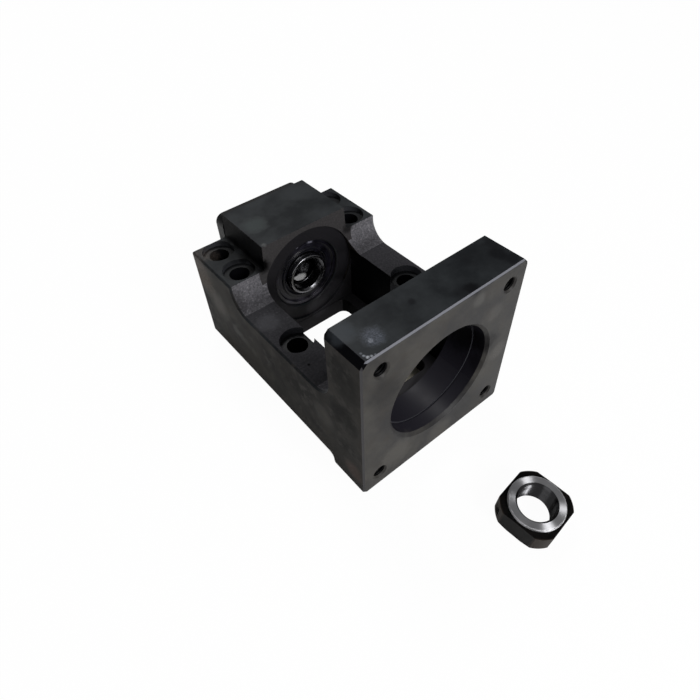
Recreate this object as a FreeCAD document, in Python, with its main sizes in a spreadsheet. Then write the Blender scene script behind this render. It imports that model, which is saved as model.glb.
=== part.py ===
import FreeCAD, Part
import Sketcher
import math
import os

# Fixed-side end support for a 12 mm ball screw, cast in one piece with its motor flange.
# The origin lies on the screw axis, at the machined ring face of the bearing block.
# +Y runs along the screw from the motor flange to the bearing end, +Z is up.

os.makedirs("parts", exist_ok=True)
doc = FreeCAD.newDocument("end_support")
dims = doc.addObject("Spreadsheet::Sheet", "dims")

sizes = [
    # casting
    ("width", 60.0, "width of the flange and of the base"),
    ("axis_height", 25.0, "screw axis above the base face"),
    ("bay_reach", 65.0, "motor flange face to ring face"),
    ("body_reach", 24.0, "ring face to the rear face"),
    ("flange_height", 60.0, "height of the motor flange"),
    ("flange_depth", 14.5, "thickness of the motor flange"),
    ("flange_top_bevel", 1.8, "corner bevel at the top of the flange"),
    ("flange_low_bevel", 1.0, "corner bevel at the foot of the flange"),
    ("edge_bevel", 0.5, "bevel on machined edges"),
    ("side_bevel", 0.6, "bevel along the upper side edges"),
    ("foot_curve", 2.4, "rounding between flange foot and base"),
    ("curve_share", 0.48, "most of the foot drop that the rounding takes"),
    ("bevel_share", 0.2, "most of the foot drop that the corner bevel takes"),
    ("wall_height", 27.7, "side wall top above the base"),
    ("bay_width", 37.0, "clear width between the side walls"),
    ("floor_thick", 6.0, "thickness of the bay floor"),
    ("window_width", 28.8, "width of the opening in the floor"),
    ("window_lip", 3.5, "floor left between the flange and the opening"),
    ("window_corner", 3.0, "corner radius of the floor opening"),
    ("window_edge", 0.2, "floor opening to the foot of the block"),
    ("flange_fillet", 7.5, "fillet from side wall to flange"),
    ("block_fillet", 7.0, "fillet from side wall to block"),
    ("shoulder_height", 36.4, "shoulder top above the base"),
    ("block_height", 45.2, "block top above the base"),
    ("block_width", 34.0, "width of the raised block at the shoulders"),
    ("block_draft", 0.6, "draft of each side of the raised block"),
    ("block_root", 1.0, "rounding where the raised block meets the shoulders"),
    ("block_bevel", 1.0, "bevel of the top rear edge of the block"),
    ("spot_depth", 0.8, "depth of the machined ring face"),
    # bores of the casting
    ("line_bore", 37.0, "coupling bore through the bay"),
    ("pilot_bore", 38.1, "motor pilot bore"),
    ("pilot_depth", 5.5, "depth of the motor pilot bore"),
    ("pilot_bevel", 1.0, "bevel at the mouth of the pilot bore"),
    ("motor_hole", 4.2, "tapping drill of the motor bolts"),
    ("motor_sink", 5.5, "countersink of the motor bolts"),
    ("motor_hole_depth", 12.0, "depth of the motor bolt holes"),
    ("motor_square", 47.14, "motor bolt square"),
    ("bolt_hole", 6.6, "clearance hole of the mounting bolts"),
    ("bolt_sink", 10.8, "counterbore of the mounting bolts"),
    ("bolt_span", 46.0, "mounting holes across the width"),
    ("bolt_pitch", 13.0, "mounting holes along the shoulders"),
    ("bolt_first", 5.2, "ring face to the first shoulder hole"),
    ("shoulder_sink_depth", 1.8, "counterbore depth on the shoulders"),
    ("wall_bolt_place", 25.6, "ring face to the side wall holes"),
    ("wall_sink_depth", 2.5, "counterbore depth on the side walls"),
    ("mouth_bevel", 0.4, "bevel at the mouth of the seal seat"),
    # bearings
    ("screw_size", 12.0, "screw journal"),
    ("bearing_size", 28.0, "bearing outside diameter"),
    ("bearing_width", 8.0, "width of one bearing"),
    ("seat_start", 4.0, "ring face to the bearing seat"),
    ("seat_gap", 0.01, "radial clearance of pressed rings"),
    ("ball_size", 4.76, "ball diameter"),
    ("ball_count", 11, "balls in one bearing"),
    ("pitch_size", 20.0, "ball circle diameter"),
    ("race_gap", 0.08, "clearance between ball and raceway"),
    ("inner_high", 17.8, "high shoulder of the inner ring"),
    ("inner_low", 16.8, "low shoulder of the inner ring"),
    ("outer_high", 22.2, "high shoulder of the outer ring"),
    ("outer_low", 24.4, "relieved side of the outer ring"),
    ("ring_bevel", 0.3, "corner bevel of the bearing rings"),
    ("cage_inside", 18.4, "cage bore"),
    ("cage_outside", 21.6, "cage outside diameter"),
    ("cage_width", 6.8, "cage width"),
    ("pocket_gap", 0.1, "clearance of a ball in its cage pocket"),
    # seals and collars
    ("seal_size", 26.0, "seal outside diameter"),
    ("seal_width", 3.0, "seal width"),
    ("seal_inset", 0.9, "seal rim below the ring face"),
    ("rim_width", 1.3, "raised rim of the seal"),
    ("rim_height", 0.7, "raised rim above the seal face"),
    ("case_wall", 0.8, "seal case wall"),
    ("case_bore", 20.4, "bore of the seal case face"),
    ("lip_gap", 0.08, "clearance of the seal lip on its collar"),
    ("lip_thick", 0.8, "rubber between the collar and the garter spring"),
    ("lip_edge", 0.7, "sealing edge before the inner end of the lip"),
    ("lip_slope", 0.35, "rise of the lip on each side of its edge"),
    ("ridge_start", 0.6, "dust ridge beyond the garter groove"),
    ("ridge_width", 0.7, "width of the dust ridge"),
    ("ridge_drop", 0.3, "dust ridge below the seal rim"),
    ("spring_wire", 0.7, "garter spring coil diameter"),
    ("spring_gap", 0.05, "garter groove beyond the spring"),
    ("collar_size", 15.0, "collar outside diameter"),
    ("collar_proud", 0.4, "front collar above the ring face"),
    ("collar_mouth", 13.4, "bevel mouth of the collar"),
    ("collar_mouth_depth", 0.6, "bevel depth of the collar mouth"),
    ("rear_proud", 2.0, "rear collar beyond the cover"),
    # cover
    ("cover_width", 34.0, "cover width"),
    ("cover_height", 35.0, "cover height"),
    ("cover_thick", 5.0, "cover plate thickness"),
    ("cover_corner", 3.0, "cover corner radius"),
    ("spigot_bore", 23.0, "bore through the cover spigot"),
    ("cover_bolts", 25.6, "cover screw square"),
    ("tap_hole", 2.5, "tapping drill of the cover screws"),
    ("tap_depth", 10.0, "depth of the tapped holes"),
    ("screw_hole", 3.4, "clearance hole of the cover screws"),
    ("screw_head", 5.5, "cover screw head"),
    ("screw_head_height", 3.0, "height of the screw head"),
    ("screw_sink", 6.0, "counterbore in the cover"),
    ("screw_sink_depth", 3.2, "counterbore depth in the cover"),
    ("screw_length", 9.0, "cover screw under its head"),
    ("screw_socket", 2.5, "hexagon across flats"),
    ("screw_socket_depth", 1.6, "hexagon depth"),
    # lock nut, lying beside the flange
    ("nut_flats", 18.3, "across flats"),
    ("nut_corners", 21.3, "turned corners"),
    ("nut_height", 8.45, "overall height"),
    ("nut_boss", 17.0, "raised face diameter"),
    ("nut_boss_height", 1.0, "height of the raised face"),
    ("nut_cone", 0.2, "drop of the shoulder from the raised face to the corners"),
    ("nut_foot_width", 1.2, "width of the cone under the corners"),
    ("nut_foot_height", 0.7, "height of the cone under the corners"),
    ("cutter_reach", 5.0, "milling past the turned corners"),
    ("nut_bore", 11.1, "bore at the thread crests"),
    ("nut_mouth", 12.4, "bevel mouth of the nut"),
    ("nut_across", 4.92, "nut centre across the width"),
    ("nut_ahead", 35.98, "nut centre ahead of the flange face"),
    ("nut_turn", 96.2, "angle of the nut on the table"),
    ("grub_size", 3.0, "grub screw diameter"),
    ("grub_length", 3.4, "grub screw length"),
    ("grub_inset", 0.3, "grub screw below the turned corner"),
    ("grub_socket", 1.5, "grub screw hexagon"),
    ("grub_socket_depth", 1.4, "grub screw hexagon depth"),
    ("plug_gap", 0.05, "set piece above the thread crests"),
]
for row, (alias, value, note) in enumerate(sizes, 1):
    dims.set("A%d" % row, note)
    dims.set("B%d" % row, str(value))
    dims.setAlias("B%d" % row, alias)
doc.recompute()

# named places along the screw, written once
flangeFace = "-dims.bay_reach"
flangeBack = "dims.flange_depth - dims.bay_reach"
roughFace = "-dims.spot_depth"
rearFace = "dims.body_reach"
baseLevel = "-dims.axis_height"
footLevel = "-dims.flange_height / 2"
topLevel = "dims.flange_height / 2"
wallTop = "dims.wall_height - dims.axis_height"
shoulderTop = "dims.shoulder_height - dims.axis_height"
blockTop = "dims.block_height - dims.axis_height"
floorTop = "dims.floor_thick - dims.axis_height"
footDrop = "(dims.flange_height / 2 - dims.axis_height)"
footCurve = "min(dims.foot_curve; dims.curve_share * %s)" % footDrop
lowBevel = "min(dims.flange_low_bevel; dims.bevel_share * %s)" % footDrop
seatEnd = "dims.seat_start + 2 * dims.bearing_width"
coverFace = "dims.body_reach + dims.cover_thick"


def number(expression):
    return float(dims.evalExpression(expression))


def originPart(body, role):
    return [part for part in body.Origin.OriginFeatures if part.Role == role][0]


def sketchOn(body, name, role, offset=None):
    sketch = body.newObject("Sketcher::SketchObject", name)
    sketch.AttachmentSupport = (originPart(body, role), [""])
    sketch.MapMode = "FlatFace"
    if offset is not None:
        sketch.setExpression("AttachmentOffset.Base.z", offset)
    return sketch


def dimension(sketch, kind, first, second, expression):
    index = sketch.addConstraint(Sketcher.Constraint(kind, *first, *second, number(expression)))
    sketch.setExpression("Constraints[%d]" % index, expression)


def place(sketch, edge, point, across, up):
    # a point on an axis is tied to the axis, any other gets its two dimensions
    if across is not None:
        if across == "0":
            sketch.addConstraint(Sketcher.Constraint("PointOnObject", edge, point, -2))
        else:
            dimension(sketch, "DistanceX", (-1, 1), (edge, point), across)
    if up is not None:
        if up == "0":
            sketch.addConstraint(Sketcher.Constraint("PointOnObject", edge, point, -1))
        else:
            dimension(sketch, "DistanceY", (-1, 1), (edge, point), up)


def outline(sketch, corners):
    # closed outline through corners given as (across, up); equal values make level or upright edges
    first = sketch.GeometryCount
    points = [FreeCAD.Vector(number(across), number(up), 0) for across, up in corners]
    count = len(points)
    for index in range(count):
        line = Part.LineSegment(points[index], points[(index + 1) % count])
        sketch.addGeometry(line, False)
    for index in range(count):
        following = first + (index + 1) % count
        sketch.addConstraint(Sketcher.Constraint("Coincident", first + index, 2, following, 1))
    for index, (across, up) in enumerate(corners):
        before = corners[index - 1] if index else (None, None)
        if across == before[0]:
            sketch.addConstraint(Sketcher.Constraint("Vertical", first + index - 1))
            across = None
        if up == before[1]:
            sketch.addConstraint(Sketcher.Constraint("Horizontal", first + index - 1))
            up = None
        place(sketch, first + index, 1, across, up)


def ringOf(sketch, across, up, diameter):
    middle = FreeCAD.Vector(number(across), number(up), 0)
    radius = number(diameter) / 2
    edge = sketch.addGeometry(Part.Circle(middle, FreeCAD.Vector(0, 0, 1), radius), False)
    place(sketch, edge, 3, across, up)
    index = sketch.addConstraint(Sketcher.Constraint("Diameter", edge, 2 * radius))
    sketch.setExpression("Constraints[%d]" % index, diameter)
    return edge


def hexagon(sketch, across, up, flats):
    # hexagon on a construction circle, one edge pair level
    middle = FreeCAD.Vector(number(across), number(up), 0)
    radius = number(flats) / math.sqrt(3)
    guide = sketch.addGeometry(Part.Circle(middle, FreeCAD.Vector(0, 0, 1), radius), True)
    place(sketch, guide, 3, across, up)
    first = sketch.GeometryCount
    corner = [middle + FreeCAD.Vector(radius * math.cos(math.radians(60 * turn)),
                                      radius * math.sin(math.radians(60 * turn)), 0) for turn in range(6)]
    for side in range(6):
        sketch.addGeometry(Part.LineSegment(corner[side], corner[(side + 1) % 6]), False)
    for side in range(6):
        following = first + (side + 1) % 6
        sketch.addConstraint(Sketcher.Constraint("Coincident", first + side, 2, following, 1))
        sketch.addConstraint(Sketcher.Constraint("PointOnObject", first + side, 1, guide))
    for side in range(1, 6):
        sketch.addConstraint(Sketcher.Constraint("Equal", first, first + side))
    sketch.addConstraint(Sketcher.Constraint("Horizontal", first + 1))
    index = sketch.addConstraint(Sketcher.Constraint("Diameter", guide, 2 * radius))
    sketch.setExpression("Constraints[%d]" % index, "%s * 2 / sqrt(3)" % flats)


def pad(body, name, sketch, length, symmetric=False, reverse=False):
    feature = body.newObject("PartDesign::Pad", name)
    feature.Profile = sketch
    feature.setExpression("Length", length)
    feature.SideType = "Symmetric" if symmetric else "One side"
    feature.Reversed = reverse
    doc.recompute()
    return feature


def pocket(body, name, sketch, depth=None, reverse=False):
    feature = body.newObject("PartDesign::Pocket", name)
    feature.Profile = sketch
    if depth is None:
        feature.Type = "ThroughAll"
    else:
        feature.setExpression("Length", depth)
    feature.Reversed = reverse
    doc.recompute()
    return feature


def turned(body, name, sketch, cut=False, axis="H_Axis"):
    feature = body.newObject("PartDesign::Groove" if cut else "PartDesign::Revolution", name)
    feature.Profile = sketch
    feature.ReferenceAxis = (sketch, [axis])
    feature.Angle = 360
    doc.recompute()
    return feature


def drilled(body, name, sketch, diameter, depth=None, sink=None, sinkDepth=None, kind="Counterbore", reverse=False):
    feature = body.newObject("PartDesign::Hole", name)
    feature.Profile = sketch
    feature.ThreadType = "None"
    feature.setExpression("Diameter", diameter)
    if depth is None:
        feature.DepthType = "ThroughAll"
    else:
        feature.DepthType = "Dimension"
        feature.setExpression("Depth", depth)
        feature.DrillPoint = "Angled"
    if sink is not None:
        feature.HoleCutType = kind
        feature.HoleCutCustomValues = True
        feature.setExpression("HoleCutDiameter", sink)
        if kind == "Counterbore":
            feature.setExpression("HoleCutDepth", sinkDepth)
        else:
            feature.HoleCutCountersinkAngle = 90
    feature.Reversed = reverse
    doc.recompute()
    return feature


def edgesWhere(feature, wanted):
    names = []
    for index, edge in enumerate(feature.Shape.Edges, 1):
        if wanted(edge, edge.BoundBox):
            names.append("Edge%d" % index)
    return names


def dressed(body, kind, name, base, wanted, size):
    # kind is Fillet or Chamfer, size the radius or the leg
    feature = body.newObject("PartDesign::" + kind, name)
    feature.Base = (base, edgesWhere(base, wanted))
    feature.setExpression("Radius" if kind == "Fillet" else "Size", size)
    doc.recompute()
    return feature


def near(value, expression):
    return abs(value - number(expression)) < 0.01


def along(box, direction):
    spans = {"x": box.XLength, "y": box.YLength, "z": box.ZLength}
    return all(length < 0.01 for name, length in spans.items() if name != direction)


def polar(body, name, originals, count, angle=360):
    feature = body.newObject("PartDesign::PolarPattern", name)
    feature.Originals = originals
    feature.Axis = (originPart(body, "Y_Axis"), [""])
    feature.Angle = angle
    if isinstance(count, str):
        feature.setExpression("Occurrences", count)
    else:
        feature.Occurrences = count
    body.Tip = feature
    doc.recompute()
    return feature


def newBody(name):
    body = doc.addObject("PartDesign::Body", name)
    body.Label = name
    return body


# Housing: the side profile is drawn once and given the full width
housing = newBody("housing")
side = sketchOn(housing, "side_profile", "YZ_Plane")
outline(side, [
    (flangeFace, footLevel),
    (flangeBack, footLevel),
    (flangeBack, baseLevel),
    (rearFace, baseLevel),
    (rearFace, shoulderTop),
    (roughFace, shoulderTop),
    (roughFace, wallTop),
    (flangeBack, wallTop),
    (flangeBack, topLevel),
    (flangeFace, topLevel),
])
blank = pad(housing, "side_pad", side, "dims.width", symmetric=True)

# cast roundings: wall to flange, wall to block, flange foot to base
last = dressed(housing, "Fillet", "flange_rounding", blank,
               lambda edge, box: along(box, "x") and near(box.YMin, flangeBack) and near(box.ZMin, wallTop),
               "dims.flange_fillet")
last = dressed(housing, "Fillet", "block_rounding", last,
               lambda edge, box: along(box, "x") and near(box.YMin, roughFace) and near(box.ZMin, wallTop),
               "dims.block_fillet")
last = dressed(housing, "Fillet", "foot_rounding", last,
               lambda edge, box: along(box, "x") and near(box.YMin, flangeBack) and box.ZMax < number(baseLevel) + 0.01,
               footCurve)

# raised middle of the bearing block, with its draft
crown = sketchOn(housing, "crown_profile", "XZ_Plane", "dims.spot_depth")
outline(crown, [
    ("-dims.block_width / 2", shoulderTop),
    ("dims.block_width / 2", shoulderTop),
    ("dims.block_width / 2 - dims.block_draft", blockTop),
    ("dims.block_draft - dims.block_width / 2", blockTop),
])
last = pad(housing, "crown_pad", crown, "dims.body_reach + dims.spot_depth", reverse=True)
last = dressed(housing, "Chamfer", "crown_bevel", last,
               lambda edge, box: along(box, "x") and near(box.YMax, rearFace) and near(box.ZMax, blockTop),
               "dims.block_bevel")
last = dressed(housing, "Fillet", "crown_root", last,
               lambda edge, box: along(box, "y") and near(box.ZMax, shoulderTop)
               and near(abs(box.XMax), "dims.block_width / 2"),
               "dims.block_root")

# the four flange corners are milled off, then the edges of its face are bevelled
corners = sketchOn(housing, "flange_corners", "XZ_Plane", "dims.bay_reach")
for sign, inward in (("-", "+"), ("", "-")):
    corner = sign + "dims.width / 2"
    for level, bevel, upward in ((footLevel, lowBevel, "+"), (topLevel, "dims.flange_top_bevel", "-")):
        outline(corners, [
            (corner, level),
            ("%s %s %s" % (corner, inward, bevel), level),
            (corner, "%s %s %s" % (level, upward, bevel)),
        ])
last = pocket(housing, "flange_corner_milling", corners)
last = dressed(housing, "Chamfer", "flange_face_edges", last,
               lambda edge, box: near(box.YMax, flangeFace) and near(box.YMin, flangeFace),
               "dims.edge_bevel")
last = dressed(housing, "Chamfer", "rear_edges", last,
               lambda edge, box: near(box.YMin, rearFace) and abs(box.XMax + box.XMin) > number("dims.block_width")
               and (along(box, "z") or near(box.ZMax, shoulderTop)),
               "dims.edge_bevel")
# one bevel runs along each side: shoulder, slope, side wall and up the back of the flange
last = dressed(housing, "Chamfer", "side_edges", last,
               lambda edge, box: near(abs(box.XMax), "dims.width / 2") and near(abs(box.XMin), "dims.width / 2")
               and box.ZMin > number(wallTop) - 0.01 and box.YMin > number(flangeBack) - 0.01
               and box.YMax < number(rearFace) - 0.1,
               "dims.side_bevel")

# coupling bay between the side walls, open at the top
bay = sketchOn(housing, "bay_outline", "XY_Plane", wallTop)
outline(bay, [
    ("-dims.bay_width / 2", flangeBack),
    ("dims.bay_width / 2", flangeBack),
    ("dims.bay_width / 2", roughFace),
    ("-dims.bay_width / 2", roughFace),
])
last = pocket(housing, "bay_pocket", bay, "dims.wall_height - dims.floor_thick")

window = sketchOn(housing, "window_outline", "XY_Plane", wallTop)
windowEnd = "-dims.spot_depth - dims.window_edge"
windowStart = "dims.flange_depth - dims.bay_reach + dims.window_lip"
outline(window, [
    ("-dims.window_width / 2", windowStart),
    ("dims.window_width / 2", windowStart),
    ("dims.window_width / 2", windowEnd),
    ("-dims.window_width / 2", windowEnd),
])
last = pocket(housing, "window_pocket", window)
last = dressed(housing, "Fillet", "window_corners", last,
               lambda edge, box: along(box, "z") and box.ZMax < number(floorTop) + 0.01
               and near(abs(box.XMax), "dims.window_width / 2"),
               "dims.window_corner")

# line boring from the motor side: pilot, coupling bore and ring face
motorSide = sketchOn(housing, "motor_bores", "YZ_Plane")
outline(motorSide, [
    (flangeFace, "0"),
    (flangeFace, "dims.pilot_bore / 2 + dims.pilot_bevel"),
    ("dims.pilot_bevel - dims.bay_reach", "dims.pilot_bore / 2"),
    ("dims.pilot_depth - dims.bay_reach", "dims.pilot_bore / 2"),
    ("dims.pilot_depth - dims.bay_reach", "dims.line_bore / 2"),
    ("0", "dims.line_bore / 2"),
    ("0", "0"),
])
last = turned(housing, "motor_boring", motorSide, cut=True)

# seal seat and bearing seat, bored from the rear
bearingSide = sketchOn(housing, "bearing_bores", "YZ_Plane")
outline(bearingSide, [
    ("0", "0"),
    ("0", "dims.seal_size / 2 + dims.mouth_bevel"),
    ("dims.mouth_bevel", "dims.seal_size / 2"),
    ("dims.seat_start", "dims.seal_size / 2"),
    ("dims.seat_start", "dims.bearing_size / 2"),
    (rearFace, "dims.bearing_size / 2"),
    (rearFace, "0"),
])
last = turned(housing, "bearing_boring", bearingSide, cut=True)

# mounting holes, counterbored from above
shoulderHoles = sketchOn(housing, "shoulder_holes", "XY_Plane", shoulderTop)
for across in ("-dims.bolt_span / 2", "dims.bolt_span / 2"):
    for back in ("dims.bolt_first", "dims.bolt_first + dims.bolt_pitch"):
        ringOf(shoulderHoles, across, back, "dims.bolt_hole")
last = drilled(housing, "shoulder_drilling", shoulderHoles, "dims.bolt_hole", None,
               "dims.bolt_sink", "dims.shoulder_sink_depth")
wallHoles = sketchOn(housing, "wall_holes", "XY_Plane", wallTop)
for across in ("-dims.bolt_span / 2", "dims.bolt_span / 2"):
    ringOf(wallHoles, across, "-dims.wall_bolt_place", "dims.bolt_hole")
last = drilled(housing, "wall_drilling", wallHoles, "dims.bolt_hole", None,
               "dims.bolt_sink", "dims.wall_sink_depth")

# motor bolt holes in the flange and cover screw holes in the rear face
motorHoles = sketchOn(housing, "motor_holes", "XZ_Plane", "dims.bay_reach")
coverHoles = sketchOn(housing, "cover_holes", "XZ_Plane", "-dims.body_reach")
for across in ("-", ""):
    for up in ("-", ""):
        ringOf(motorHoles, across + "dims.motor_square / 2", up + "dims.motor_square / 2", "dims.motor_hole")
        ringOf(coverHoles, across + "dims.cover_bolts / 2", up + "dims.cover_bolts / 2", "dims.tap_hole")
last = drilled(housing, "motor_drilling", motorHoles, "dims.motor_hole", "dims.motor_hole_depth",
               "dims.motor_sink", kind="Countersink")
last = drilled(housing, "cover_drilling", coverHoles, "dims.tap_hole", "dims.tap_depth", reverse=True)

# Retaining cover: plate, spigot that clamps the outer rings, bore and seal seat
cover = newBody("retaining_cover")
plate = sketchOn(cover, "plate_outline", "XZ_Plane", "-dims.body_reach")
outline(plate, [
    ("-dims.cover_width / 2", "-dims.cover_height / 2"),
    ("dims.cover_width / 2", "-dims.cover_height / 2"),
    ("dims.cover_width / 2", "dims.cover_height / 2"),
    ("-dims.cover_width / 2", "dims.cover_height / 2"),
])
last = pad(cover, "plate_pad", plate, "dims.cover_thick", reverse=True)
last = dressed(cover, "Fillet", "plate_corners", last,
               lambda edge, box: along(box, "y"), "dims.cover_corner")
last = dressed(cover, "Chamfer", "plate_edges", last,
               lambda edge, box: near(box.YMin, coverFace), "dims.edge_bevel")
spigot = sketchOn(cover, "spigot_outline", "YZ_Plane")
outline(spigot, [
    (seatEnd, "dims.spigot_bore / 2"),
    (seatEnd, "dims.bearing_size / 2 - dims.seat_gap - dims.ring_bevel"),
    (seatEnd + " + dims.ring_bevel", "dims.bearing_size / 2 - dims.seat_gap"),
    (rearFace, "dims.bearing_size / 2 - dims.seat_gap"),
    (rearFace, "dims.spigot_bore / 2"),
])
last = turned(cover, "spigot", spigot)
rearSeat = "dims.body_reach + dims.cover_thick - dims.seat_start"
coverBore = sketchOn(cover, "cover_bores", "YZ_Plane")
outline(coverBore, [
    (rearFace, "0"),
    (rearFace, "dims.spigot_bore / 2"),
    (rearSeat, "dims.spigot_bore / 2"),
    (rearSeat, "dims.seal_size / 2"),
    (coverFace + " - dims.mouth_bevel", "dims.seal_size / 2"),
    (coverFace, "dims.seal_size / 2 + dims.mouth_bevel"),
    (coverFace, "0"),
])
last = turned(cover, "cover_boring", coverBore, cut=True)
sinks = sketchOn(cover, "screw_places", "XZ_Plane", "-dims.body_reach - dims.cover_thick")
for across in ("-", ""):
    for up in ("-", ""):
        ringOf(sinks, across + "dims.cover_bolts / 2", up + "dims.cover_bolts / 2", "dims.screw_hole")
last = drilled(cover, "screw_drilling", sinks, "dims.screw_hole", None,
               "dims.screw_sink", "dims.screw_sink_depth", reverse=True)

# Cover screws: one socket head screw, repeated round the axis
screws = newBody("cover_screws")
headSeat = "dims.body_reach + dims.cover_thick - dims.screw_sink_depth"
headTop = headSeat + " + dims.screw_head_height"
screwAxis = "dims.cover_bolts / 2"
screwSide = sketchOn(screws, "screw_side", "YZ_Plane", screwAxis)
outline(screwSide, [
    (headSeat + " - dims.screw_length", screwAxis),
    (headSeat + " - dims.screw_length", screwAxis + " + dims.tap_hole / 2 - dims.seat_gap"),
    (headSeat, screwAxis + " + dims.tap_hole / 2 - dims.seat_gap"),
    (headSeat, screwAxis + " + dims.screw_head / 2"),
    (headTop + " - dims.ring_bevel", screwAxis + " + dims.screw_head / 2"),
    (headTop, screwAxis + " + dims.screw_head / 2 - dims.ring_bevel"),
    (headTop, screwAxis),
])
middleLine = screwSide.addGeometry(Part.LineSegment(
    FreeCAD.Vector(number(headSeat), number(screwAxis), 0),
    FreeCAD.Vector(number(headTop), number(screwAxis), 0)), True)
screwSide.addConstraint(Sketcher.Constraint("Horizontal", middleLine))
place(screwSide, middleLine, 1, headSeat, screwAxis)
dimension(screwSide, "DistanceX", (-1, 1), (middleLine, 2), headTop)
screw = turned(screws, "screw", screwSide, axis="Axis0")
socketPlace = sketchOn(screws, "socket_place", "XZ_Plane", "-(%s)" % headTop)
hexagon(socketPlace, screwAxis, screwAxis, "dims.screw_socket")
socket = pocket(screws, "socket", socketPlace, "dims.screw_socket_depth", reverse=True)
polar(screws, "screw_ring", [screw, socket], 4)

# Bearings: a ring blank is turned first, then its raceway
ballTrack = "dims.ball_size + 2 * dims.race_gap"


def bearingRing(name, start, rows):
    body = newBody(name)
    section = sketchOn(body, "section", "YZ_Plane")
    outline(section, rows)
    turned(body, "blank", section)
    track = sketchOn(body, "track", "YZ_Plane")
    ringOf(track, start + " + dims.bearing_width / 2", "dims.pitch_size / 2", ballTrack)
    turned(body, "raceway", track, cut=True)
    return body


def bearing(name, start, flip):
    # flip puts the relieved sides of the two bearings face to face
    end = start + " + dims.bearing_width"
    middle = start + " + dims.bearing_width / 2"
    wide, slim = "dims.outer_high / 2", "dims.outer_low / 2"
    tall, low = "dims.inner_high / 2", "dims.inner_low / 2"
    outside = "dims.bearing_size / 2 - dims.seat_gap"
    bevel = "dims.ring_bevel"
    bearingRing(name + "_outer_ring", start, [
        (start, slim if flip else wide),
        (middle, slim if flip else wide),
        (middle, wide if flip else slim),
        (end, wide if flip else slim),
        (end, outside + " - " + bevel),
        (end + " - " + bevel, outside),
        (start + " + " + bevel, outside),
        (start, outside + " - " + bevel),
    ])
    bearingRing(name + "_inner_ring", start, [
        (start, "dims.screw_size / 2 + " + bevel),
        (start + " + " + bevel, "dims.screw_size / 2"),
        (end + " - " + bevel, "dims.screw_size / 2"),
        (end, "dims.screw_size / 2 + " + bevel),
        (end, low if flip else tall),
        (middle, low if flip else tall),
        (middle, tall if flip else low),
        (start, tall if flip else low),
    ])
    # cage: turned ring with a row of drilled ball pockets
    cage = newBody(name + "_cage")
    band = sketchOn(cage, "band", "YZ_Plane")
    outline(band, [
        (middle + " - dims.cage_width / 2", "dims.cage_inside / 2"),
        (middle + " + dims.cage_width / 2", "dims.cage_inside / 2"),
        (middle + " + dims.cage_width / 2", "dims.cage_outside / 2"),
        (middle + " - dims.cage_width / 2", "dims.cage_outside / 2"),
    ])
    turned(cage, "band_ring", band)
    hole = sketchOn(cage, "pocket_round", "XY_Plane")
    ringOf(hole, "0", middle, "dims.ball_size + 2 * dims.pocket_gap")
    first = pocket(cage, "ball_pocket", hole, None, reverse=True)
    polar(cage, "pocket_ring", [first], "dims.ball_count")
    # balls on the pitch circle
    balls = newBody(name + "_balls")
    ball = balls.newObject("PartDesign::AdditiveSphere", "ball")
    ball.setExpression("Radius", "dims.ball_size / 2")
    ball.setExpression("Placement.Base.y", middle)
    ball.setExpression("Placement.Base.z", "dims.pitch_size / 2")
    doc.recompute()
    polar(balls, "ball_ring", [ball], "dims.ball_count")


bearing("front", "dims.seat_start", False)
bearing("rear", "dims.seat_start + dims.bearing_width", True)


# Seals: pressed case, rubber lip bonded to it, garter spring round the lip
def seal(name, face, sign):
    # face is the outer face of the seal, sign points inwards along the screw
    def inward(distance):
        return "%s %s (%s)" % (face, sign, distance)

    outside = "dims.seal_size / 2 - dims.seat_gap"
    case = newBody(name + "_seal_case")
    section = sketchOn(case, "section", "YZ_Plane")
    outline(section, [
        (inward("dims.rim_height"), "dims.case_bore / 2"),
        (inward("dims.rim_height"), outside + " - dims.rim_width"),
        (face, outside + " - dims.rim_width"),
        (face, outside + " - dims.ring_bevel"),
        (inward("dims.ring_bevel"), outside),
        (inward("dims.seal_width"), outside),
        (inward("dims.seal_width"), outside + " - dims.case_wall"),
        (inward("dims.rim_height + dims.case_wall"), outside + " - dims.case_wall"),
        (inward("dims.rim_height + dims.case_wall"), "dims.case_bore / 2"),
    ])
    turned(case, "case_ring", section)
    lip = newBody(name + "_seal_lip")
    profile = sketchOn(lip, "profile", "YZ_Plane")
    edge = "dims.collar_size / 2 + dims.lip_gap"
    groove = edge + " + dims.lip_thick"
    ridge = groove + " + dims.ridge_start"
    springMiddle = "dims.seal_width - dims.spring_wire"
    grooveStart = springMiddle + " - dims.spring_wire / 2 - dims.spring_gap"
    outline(profile, [
        (inward("dims.rim_height"), "dims.case_bore / 2"),
        (inward("dims.rim_height + dims.case_wall"), "dims.case_bore / 2"),
        (inward(grooveStart), groove),
        (inward("dims.seal_width"), groove),
        (inward("dims.seal_width"), edge + " + dims.lip_slope"),
        (inward("dims.seal_width - dims.lip_edge"), edge),
        (inward("dims.rim_height + dims.case_wall / 2"), edge + " + dims.lip_slope"),
        (inward("dims.ridge_drop"), ridge),
        (inward("dims.ridge_drop"), ridge + " + dims.ridge_width"),
    ])
    turned(lip, "lip_ring", profile)
    spring = doc.addObject("Part::Torus", name + "_seal_spring")
    spring.Label = name + "_seal_spring"
    spring.setExpression("Radius1", groove + " + dims.spring_wire / 2")
    spring.setExpression("Radius2", "dims.spring_wire / 2")
    spring.Placement = FreeCAD.Placement(FreeCAD.Vector(), FreeCAD.Rotation(FreeCAD.Vector(1, 0, 0), 90))
    spring.setExpression("Placement.Base.y", inward(springMiddle))


seal("front", "dims.seal_inset", "+")
seal("rear", coverFace + " - dims.seal_inset", "-")

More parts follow.
